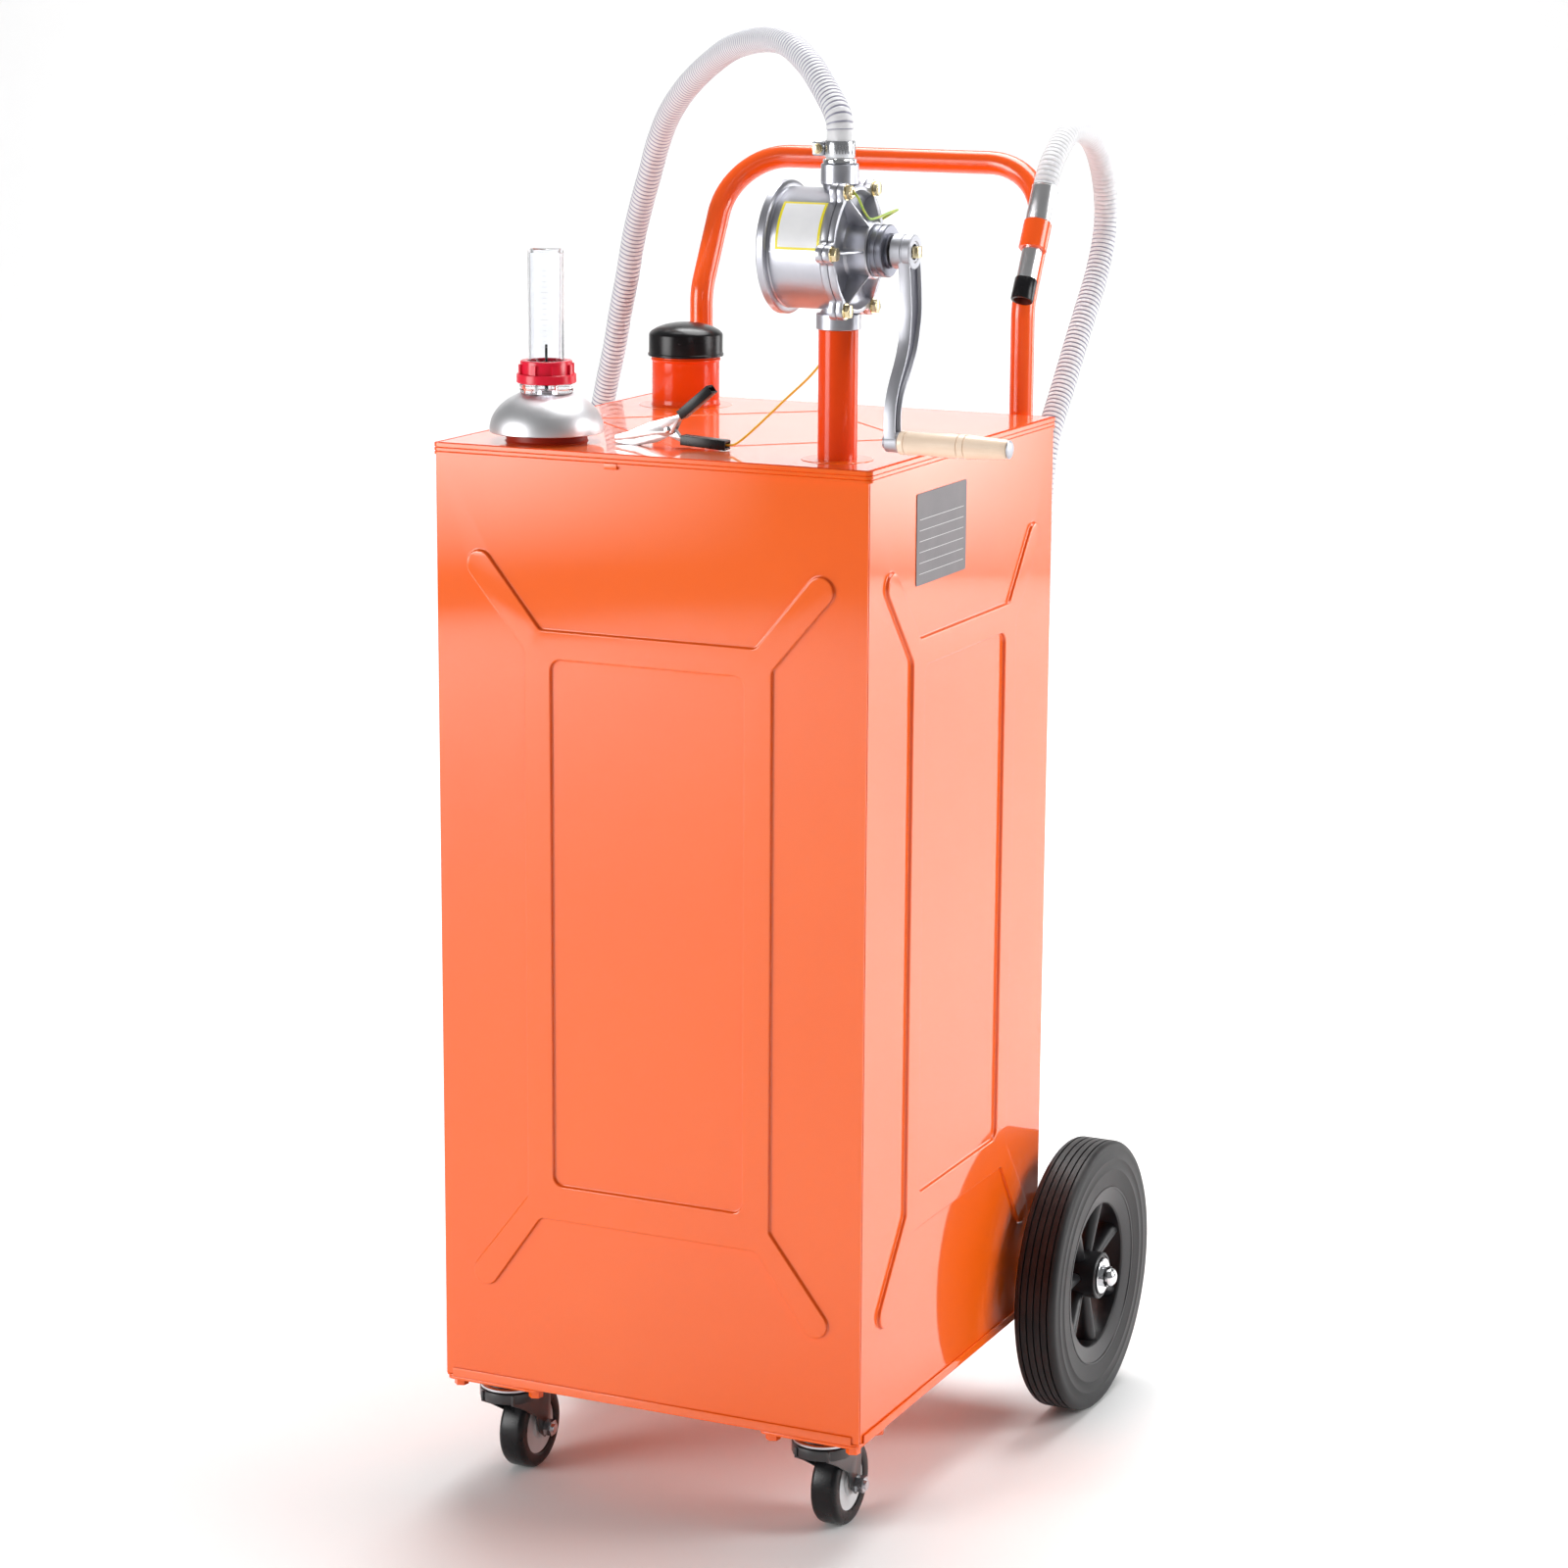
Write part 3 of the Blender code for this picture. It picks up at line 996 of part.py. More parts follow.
def spoke(name, turn, place_x, at, tilt):
    shape = bmesh.new()
    low = wheel.hub - wheel.spoke_lap
    high = wheel.rim_inner + wheel.spoke_lap
    place = (Matrix.Translation((place_x, 0, 0)) @ Matrix.Rotation(turn, 4, "X")
             @ Matrix.Translation((0, 0, (low + high) / 2)))
    bmesh.ops.create_cone(shape, cap_ends=True, segments=6, radius1=wheel.spoke_root,
                          radius2=wheel.spoke_end, depth=high - low,
                          matrix=place)
    mesh = bpy.data.meshes.new(name)
    shape.to_mesh(mesh)
    shape.free()
    return take(name, mesh, at, None, tilt)


rim_low = wheel.low_x + wheel.rim_inset
rim_high = wheel.high_x - wheel.rim_inset
wheel_middle = (wheel.low_x + wheel.high_x) / 2
washer_low = wheel.hub_high + gap
washer_high = washer_low + axle.washer_thick
for name, side in (("left", -1), ("right", 1)):
    flip = (0, side * quarter_turn, 0)
    turned("rear_tyre_" + name, tyre_profile(), axle_at, rubber, steps=wheel_steps, turn=flip,
           ring=True)
    rim_piece = turned("rear_rim_" + name, [
        (wheel.rim, rim_high), (wheel.rim, rim_low), (wheel.rim_inner, rim_low),
        (wheel.rim_inner, rim_high)], axle_at, black, steps=wheel_steps, turn=flip, ring=True)
    add(rim_piece, rod("hub_" + name, wheel.hub, wheel.hub_low, wheel.hub_high, at=axle_at,
                       turn=flip, sides=16))
    phase = math.radians(wheel.spoke_phase)
    add(rim_piece, *[spoke(f"spoke_{name}_{number}", phase + 2 * half_turn * number / wheel.spokes,
                           side * wheel_middle, axle_at, (0, 0, 0))
                     for number in range(wheel.spokes)])
    cut(rim_piece, rod("hub_bore_" + name, wheel.bore, wheel.hub_low - gap, wheel.hub_high + gap, at=axle_at,
                       turn=flip))
    acorn = [(axle.dome * math.cos(turn), axle.hex_high + (axle.dome_end - axle.hex_high)
              * math.sin(turn)) for turn in (quarter_turn * step / 2 for step in range(3))]
    nut = turned("axle_nut_" + name, [(0, axle.dome_end)] + acorn[-2::-1] + [
        (axle.dome, washer_high), (axle.washer, washer_high), (axle.washer, washer_low),
        (axle.nut_bore, washer_low), (axle.nut_bore, axle.nut_bore_end), (0, axle.nut_bore_end)],
        axle_at, steel, turn=flip, steps=16)
    nut_hex = turned("nut_hex_" + name, [
        (axle.hex, axle.hex_high - gap), (axle.hex, washer_high - gap),
        (axle.dome - gap * 2, washer_high - gap), (axle.dome - gap * 2, axle.hex_high - gap)],
        axle_at, turn=flip, steps=6, ring=True)
    nut_hex.modifiers["turned"].use_smooth_shade = False
    add(nut, nut_hex)

# Two swivel casters with brake pedals
for name, side in (("left", -1), ("right", 1)):
    swivel_at = (side * caster.x, caster.y, 0)
    plate_lap = caster.plate_low + gap
    plate = box("caster_plate_" + name, (-caster.plate_x, -caster.plate_y, caster.plate_low),
                (caster.plate_x, caster.plate_y, -gap), swivel_at, orange)
    add(plate,
        rod("race_" + name, caster.race, caster.race_low, plate_lap, at=swivel_at, sides=16),
        rod("king_" + name, caster.king, caster.king_low + gap, caster.race_low + gap,
            at=swivel_at),
        rod("king_head_" + name, caster.king_head, caster.king_low, caster.king_head_high,
            at=swivel_at))
    add(plate, *[rod(f"plate_bolt_{name}_{along_x}_{place_y}", caster.bolt / math.cos(half_turn / 6),
                     caster.bolt_low, plate_lap, at=swivel_at, sides=6,
                     offset=(along_x * caster.bolt_x, place_y, 0))
                 for along_x in (-1, 1) for place_y in (caster.bolt_front, caster.bolt_rear)])

    fork = turned("caster_fork_" + name, [
        (caster.disc, caster.disc_high), (caster.disc, caster.disc_low),
        (caster.king + gap, caster.disc_low), (caster.king + gap, caster.disc_high)],
        swivel_at, black, steps=16, ring=True)
    leg = [list(zip(caster.leg_y, caster.leg_z))]
    add(fork,
        slab("leg_a_" + name, leg, caster.leg_in, caster.leg_out, swivel_at, facing="X"),
        slab("leg_b_" + name, leg, -caster.leg_out, -caster.leg_in, swivel_at, facing="X"))
    cut(fork,
        rod("fork_axle_hole_" + name, caster.axle + gap, -caster.race, caster.race, "X", swivel_at,
            offset=(0, caster.trail, caster.axle_z)),
        rod("fork_lever_hole_" + name, caster.lever_bore, -caster.race, caster.race, "X",
            swivel_at, sides=16, offset=(0, caster.lever_y, caster.lever_z)))

    wheel_at = (side * caster.x, caster.y + caster.trail, caster.axle_z)
    bend = caster.wheel_round * round_share
    half_wheel = [(caster.wheel_bore, caster.wheel_half),
                  (caster.wheel - caster.wheel_round, caster.wheel_half),
                  (caster.wheel - bend, caster.wheel_half - bend),
                  (caster.wheel, caster.wheel_half - caster.wheel_round)]
    turned("caster_wheel_" + name, half_wheel + [(radius, -place)
                                                 for radius, place in reversed(half_wheel)],
           wheel_at, rubber, "X", steps=16, ring=True)

    pin = turned("caster_axle_" + name, [
        (0, caster.axle_high), (caster.axle, caster.axle_high), (caster.axle, -caster.leg_out - gap),
        (caster.axle_head, -caster.leg_out - gap), (caster.axle_head, caster.axle_low),
        (0, caster.axle_low)], wheel_at, steel, "X", steps=plain_steps)
    add(pin, rod("caster_nut_" + name, caster.axle_nut / math.cos(half_turn / 6),
                 caster.leg_out + gap, caster.axle_nut_high, "X", wheel_at, sides=6))

    lever_at = (side * caster.x, caster.y + caster.lever_y, caster.lever_z)
    lever = rod("brake_lever_" + name, caster.lever_barrel, -caster.lever_half, caster.lever_half,
                "X", lever_at, black)
    thick = caster.lever_thick / 2
    mid = (caster.pedal_mid_y - caster.lever_y, caster.pedal_mid_z - caster.lever_z)
    end = (caster.pedal_end_y - caster.lever_y, caster.pedal_end_z - caster.lever_z)
    pad_near = caster.pad_y - caster.pad_half / 2 - caster.lever_y
    pad_far = caster.pad_y + caster.pad_half / 2 - caster.lever_y
    pad_low = caster.pad_low - caster.lever_z
    pedal = [(0, thick), (mid[0] + thick, mid[1] + thick), (end[0] + thick, end[1] + thick),
             (end[0] - thick, end[1] - thick), (mid[0] - thick, mid[1] - thick),
             (pad_far, -caster.lever_barrel),
             (pad_far, pad_low), (pad_near, pad_low), (pad_near, -caster.lever_barrel), (0, -thick)]
    add(lever,
        slab("pedal_" + name, [pedal], -caster.lever_half + caster.lever_bore,
             caster.lever_half - caster.lever_bore, lever_at, facing="X"),
        rod("lever_pin_" + name, caster.lever_bore - gap, -caster.leg_out, caster.leg_out, "X",
            lever_at, sides=16))

# Nozzle, its tip and the holder ring on the handle
nozzle_at = (nozzle.x, nozzle.y, nozzle.z)
nozzle_turn = (-math.radians(nozzle.lean_deg), 0, 0)
turned("nozzle_pipe", [
    (nozzle.barb * nozzle.barb_share, nozzle.pipe_high), (nozzle.barb, nozzle.pipe_high - nozzle.pipe),
    (nozzle.barb, nozzle.cuff_low), (nozzle.pipe, nozzle.cuff_low),
    (nozzle.pipe, nozzle.pipe_low), (nozzle.pipe_bore * nozzle.bore_share, nozzle.pipe_low),
    (nozzle.pipe_bore * nozzle.bore_share, nozzle.pipe_high)], nozzle_at, steel, turn=nozzle_turn, steps=16,
    ring=True)
turned("nozzle_tip", [
    (nozzle.tip, nozzle.tip_high), (nozzle.tip, nozzle.tip_low), (nozzle.pipe_bore, nozzle.tip_low),
    (nozzle.pipe_bore, nozzle.pipe_low - gap), (nozzle.pipe + gap, nozzle.pipe_low - gap),
    (nozzle.pipe + gap, nozzle.tip_high)], nozzle_at, black, turn=nozzle_turn, steps=16, ring=True)
holder = turned("nozzle_holder", [
    (nozzle.ring, nozzle.ring_half), (nozzle.ring, -nozzle.ring_half),
    (nozzle.pipe_bore, -nozzle.ring_half), (nozzle.pipe_bore, nozzle.ring_half)],
    nozzle_at, orange, turn=nozzle_turn, steps=16, ring=True)
leg_y = handle.y + (nozzle.z - handle.kink_z) * math.tan(lean)
leg_x = handle.x - nozzle.x
add(holder, box("saddle", (leg_x - nozzle.saddle_half, nozzle.pipe + gap, -nozzle.saddle_half),
                (leg_x + nozzle.saddle_half, leg_y - nozzle.y, nozzle.saddle_half), nozzle_at,
                turn=nozzle_turn))
cut(holder,
    rod("holder_bore", nozzle.pipe + gap, -nozzle.pipe_high, nozzle.pipe_high, at=nozzle_at,
        turn=nozzle_turn, sides=16),
    rod("saddle_bed", handle.radius + gap, -nozzle.pipe_high, nozzle.pipe_high,
        at=(handle.x, leg_y, nozzle.z), turn=(-lean, 0, 0), sides=16))

# Ribbed hose, bored through by a plainer tube
hose_line = following(hose.route)
rib_points = smooth_route(hose_line, hose.ribs * 2)
factors = [1.0 if number % 2 else hose.root_share for number in range(len(rib_points))]
plain_ends = round(hose.straight / (lengths(hose_line)[-1] / len(rib_points)))
for number in range(plain_ends + 1):
    factors[number] = 1.0
    factors[-1 - number] = 1.0
hose_piece = tube("fuel_hose", rib_points, hose.radius, clear, factors=factors)
bore_line = [place.copy() for place in rib_points]
bore_line[0] += (bore_line[0] - bore_line[1]) * hose.past_share
bore_line[-1] += (bore_line[-1] - bore_line[-2]) * hose.past_share
cut(hose_piece, tube("hose_bore", bore_line, hose.bore))

# Grounding wire and its clip
tube("ground_wire", smooth_route(following(wire.route), wire.points), wire.radius, green,
     roundness=1)


def strip(start, end, half, before=0.0, after=0.0):
    start = Vector(start)
    end = Vector(end)
    run = (end - start).normalized()
    side = Vector((-run.y, run.x)) * half
    start = start - run * before
    end = end + run * after
    return [start + side, end + side, end - side, start - side]


def clip_slab(name, outline, half, material=None, middle=clip.y):
    pivot = Vector((clip.pivot_x, clip.pivot_z))
    return slab(name, [[Vector(place) - pivot for place in outline]], -half, half,
                (clip.pivot_x, middle, tank.height + clip.pivot_z), material, "Y")


lower_tail = strip(*clip.lower_tail, clip.tail_half)
upper_tail = strip(*clip.upper_tail, clip.tail_half)
lower_jaw = clip_slab("clip_lower_jaw", list(clip.lower_front) + lower_tail + list(clip.lower_back),
                      clip.lower_half, steel)
upper_jaw = clip_slab("clip_upper_jaw", list(clip.upper_front) + upper_tail + list(clip.upper_back),
                      clip.upper_half, steel)
pin_hole = clip.pin + gap
pivot_place = (clip.pivot_x, clip.y, tank.height + clip.pivot_z)
cut(upper_jaw,
    box("jaw_slot", (clip.slot_low_x, -clip.slot_half, clip.slot_low),
        (clip.slot_high_x, clip.slot_half, clip.slot_high), (0, clip.y, tank.height)),
    rod("upper_pin_hole", pin_hole, -clip.sleeve_half, clip.sleeve_half, "Y", pivot_place, sides=16))
cut(lower_jaw,
    rod("lower_pin_hole", pin_hole, -clip.sleeve_half, clip.sleeve_half, "Y", pivot_place, sides=16))
for name, tail in (("lower", clip.lower_tail), ("upper", clip.upper_tail)):
    sleeve = clip_slab(f"clip_{name}_grip", strip(
        *tail, clip.sleeve_out, -clip.sleeve_past / 2, clip.sleeve_past),
                       clip.sleeve_half, rubber)
    cut(sleeve, clip_slab(name + "_hollow", strip(
        *tail, clip.sleeve_in, clip.sleeve_past, clip.sleeve_past * 2), clip.sleeve_hollow))
head_low = clip.upper_half + gap
head_high = head_low + clip.pin_head_thick
turned("clip_pivot", [
    (0, head_high), (clip.pin_head, head_high), (clip.pin_head, head_low), (clip.pin, head_low),
    (clip.pin, -head_low), (clip.pin_head, -head_low), (clip.pin_head, -head_high),
    (0, -head_high)], pivot_place, steel, "Y", steps=16)

# One frame for the whole object: the floor, under the middle of the outline
frame = bpy.data.objects.new("caddy_frame", None)
bpy.context.scene.collection.objects.link(frame)
frame.location = (-(grip.cap_high - axle.dome_end) / 2,
                  -(wheel.y + wheel.radius + tank.front - rim_out) / 2, tank.ground)
for piece in list(pieces.objects) + list(cutters.objects):
    piece.parent = frame
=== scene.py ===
import math

import bmesh
import bpy
from bmesh.types import BMEdge, BMFace, BMVert
from mathutils import Matrix, Vector


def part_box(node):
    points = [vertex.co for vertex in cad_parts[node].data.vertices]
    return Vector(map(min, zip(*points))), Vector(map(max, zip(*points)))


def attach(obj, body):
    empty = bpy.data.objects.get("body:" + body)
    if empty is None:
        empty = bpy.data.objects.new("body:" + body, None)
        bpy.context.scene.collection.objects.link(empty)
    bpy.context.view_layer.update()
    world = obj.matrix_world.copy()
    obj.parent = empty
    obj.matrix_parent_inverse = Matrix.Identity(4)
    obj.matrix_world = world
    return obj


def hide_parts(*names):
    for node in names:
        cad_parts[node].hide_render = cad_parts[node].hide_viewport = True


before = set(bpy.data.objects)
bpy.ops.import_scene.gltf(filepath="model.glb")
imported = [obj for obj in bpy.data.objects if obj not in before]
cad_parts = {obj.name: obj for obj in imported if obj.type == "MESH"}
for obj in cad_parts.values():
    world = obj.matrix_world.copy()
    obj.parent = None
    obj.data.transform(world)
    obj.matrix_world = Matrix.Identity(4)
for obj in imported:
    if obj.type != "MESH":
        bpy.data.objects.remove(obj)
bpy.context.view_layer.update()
print("frame loaded:", len(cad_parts), "nodes")

fullTurn = math.tau
quarterTurn = math.pi / 2
mergeAt = 0.000002
hexagon = 1 / math.cos(math.pi / 6)  # a hexagon's corner for one unit from middle to flat

# The tank's middle on the floor plan and its underside are the start of every place below
tank = {"side": 0.1975, "rear": 0.2025, "height": 0.820, "rimAbove": 0.001, "sheet": 0.0015,
        "gap": 0.0003, "fold": 0.0011}
leftLow = Vector(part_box("tank_left_panel")[0])
rightHigh = Vector(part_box("tank_right_panel")[1])
tankAt = (leftLow + rightHigh) / 2
tankAt.z = leftLow.z - tank["sheet"] - tank["gap"]

# Camera, fitted to the straight edges of the tank
view = {"place": (1.43290, -3.14958, 1.34292), "lens": 91.455, "yaw": 0.433122,
        "pitch": 0.212656, "roll": 0.006327}


def addCamera():
    camera = bpy.data.objects.new("photoCamera", bpy.data.cameras.new("photoCamera"))
    camera.data.lens = view["lens"]
    camera.data.sensor_width = 36
    camera.data.clip_end = 60
    turn = Matrix.Rotation(view["yaw"], 4, "Z")
    turn = turn @ Matrix.Rotation(quarterTurn - view["pitch"], 4, "X")
    turn = turn @ Matrix.Rotation(view["roll"], 4, "Z")
    camera.matrix_world = Matrix.Translation(view["place"]) @ turn
    bpy.context.scene.collection.objects.link(camera)
    bpy.context.scene.camera = camera


addCamera()
print("camera set")


# Node groups that several materials share
def startGroup(name, inputs, outputs):
    group = bpy.data.node_groups.new(name, "ShaderNodeTree")
    for label, kind, value in inputs:
        socket = group.interface.new_socket(name=label, in_out="INPUT", socket_type=kind)
        if value is not None:
            socket.default_value = value
    for label, kind in outputs:
        group.interface.new_socket(name=label, in_out="OUTPUT", socket_type=kind)
    return group, group.nodes.new("NodeGroupInput"), group.nodes.new("NodeGroupOutput")


def feed(tree, socket, value):  # sets a socket, or links to it
    if isinstance(value, bpy.types.NodeSocket):
        tree.links.new(value, socket)
    else:
        socket.default_value = (*value, 1) if isinstance(value, tuple) else value


def noiseNode(tree, vector, scale, detail=3.0):
    noise = tree.nodes.new("ShaderNodeTexNoise")
    noise.inputs["Detail"].default_value = detail
    tree.links.new(vector, noise.inputs["Vector"])
    feed(tree, noise.inputs["Scale"], scale)
    return noise.outputs["Fac"]


def rangeNode(tree, value, lowIn, highIn, lowOut=0.0, highOut=1.0):
    spread = tree.nodes.new("ShaderNodeMapRange")
    tree.links.new(value, spread.inputs["Value"])
    for label, setting in (("From Min", lowIn), ("From Max", highIn), ("To Min", lowOut),
                           ("To Max", highOut)):
        spread.inputs[label].default_value = setting
    return spread.outputs["Result"]


def mathNode(tree, operation, first, second):
    step = tree.nodes.new("ShaderNodeMath")
    step.operation = operation
    for socket, value in zip(step.inputs, (first, second)):
        feed(tree, socket, value)
    return step.outputs[0]


def mixNode(tree, factor, first, second):
    mix = tree.nodes.new("ShaderNodeMix")
    mix.data_type = "RGBA"
    tree.links.new(factor, mix.inputs["Factor"])
    sockets = {one.name: one for one in mix.inputs if one.type == "RGBA"}
    feed(tree, sockets["A"], first)
    feed(tree, sockets["B"], second)
    return [one for one in mix.outputs if one.type == "RGBA"][0]


def makeSkinGroup():  # soft clouds in the colour, a fine grain, and uneven gloss
    group, start, end = startGroup(
        "surfaceSkin",
        [("Vector", "NodeSocketVector", None), ("Colour", "NodeSocketColor", None),
         ("Shade", "NodeSocketColor", None), ("Cloud Scale", "NodeSocketFloat", 12.0),
         ("Grain Scale", "NodeSocketFloat", 600.0), ("Roughness", "NodeSocketFloat", 0.3),
         ("Spread", "NodeSocketFloat", 0.1)],
        [("Colour", "NodeSocketColor"), ("Roughness", "NodeSocketFloat"),
         ("Height", "NodeSocketFloat")])
    given = start.outputs
    clouds = noiseNode(group, given["Vector"], given["Cloud Scale"], 4)
    colour = mixNode(group, rangeNode(group, clouds, 0.35, 0.65), given["Colour"], given["Shade"])
    grain = noiseNode(group, given["Vector"], given["Grain Scale"], 2)
    uneven = mathNode(group, "MULTIPLY", mathNode(group, "SUBTRACT", clouds, 0.5), given["Spread"])
    feed(group, end.inputs["Colour"], colour)
    feed(group, end.inputs["Roughness"], mathNode(group, "ADD", given["Roughness"], uneven))
    feed(group, end.inputs["Height"], grain)
    return group


def makeDustGroup():  # a thin veil of dust on faces that look up
    group, start, end = startGroup(
        "settledDust",
        [("Vector", "NodeSocketVector", None), ("Amount", "NodeSocketFloat", 0.2)],
        [("Mask", "NodeSocketFloat")])
    normal = group.nodes.new("ShaderNodeNewGeometry").outputs["Normal"]
    split = group.nodes.new("ShaderNodeSeparateXYZ")
    feed(group, split.inputs[0], normal)
    upward = rangeNode(group, split.outputs["Z"], 0.2, 0.95)
    speckle = rangeNode(group, noiseNode(group, start.outputs["Vector"], 90, 6), 0.45, 0.7)
    veil = mathNode(group, "MULTIPLY", upward, speckle)
    feed(group, end.inputs["Mask"], mathNode(group, "MULTIPLY", veil, start.outputs["Amount"]))
    return group


skinGroup = makeSkinGroup()
dustGroup = makeDustGroup()


def newMaterial(name):  # with the object's own coordinates at hand
    material = bpy.data.materials.new(name)
    material.use_nodes = True
    tree = material.node_tree
    place = tree.nodes.new("ShaderNodeTexCoord").outputs["Object"]
    return material, tree, tree.nodes["Principled BSDF"], place


def addBump(tree, shader, height, depth):
    bump = tree.nodes.new("ShaderNodeBump")
    bump.inputs["Distance"].default_value = depth
    tree.links.new(height, bump.inputs["Height"])
    tree.links.new(bump.outputs["Normal"], shader.inputs["Normal"])


def finishMaterial(name, colour, shade, roughness, spread=0.08, metallic=0.0, cloud=9.0,
                   grain=900.0, depth=0.00002, dust=0.0, **sockets):
    material, tree, shader, place = newMaterial(name)
    skin = tree.nodes.new("ShaderNodeGroup")
    skin.node_tree = skinGroup
    for label, value in (("Vector", place), ("Colour", colour), ("Shade", shade),
                         ("Cloud Scale", cloud), ("Grain Scale", grain),
                         ("Roughness", roughness), ("Spread", spread)):
        feed(tree, skin.inputs[label], value)
    base = skin.outputs["Colour"]
    if dust:
        veil = tree.nodes.new("ShaderNodeGroup")
        veil.node_tree = dustGroup
        feed(tree, veil.inputs["Vector"], place)
        feed(tree, veil.inputs["Amount"], dust)
        base = mixNode(tree, veil.outputs["Mask"], base, (0.55, 0.52, 0.48))
    feed(tree, shader.inputs["Base Color"], base)
    feed(tree, shader.inputs["Roughness"], skin.outputs["Roughness"])
    addBump(tree, shader, skin.outputs["Height"], depth)
    shader.inputs["Metallic"].default_value = metallic
    for label, value in sockets.items():
        shader.inputs[label.replace("_", " ")].default_value = value
    return material


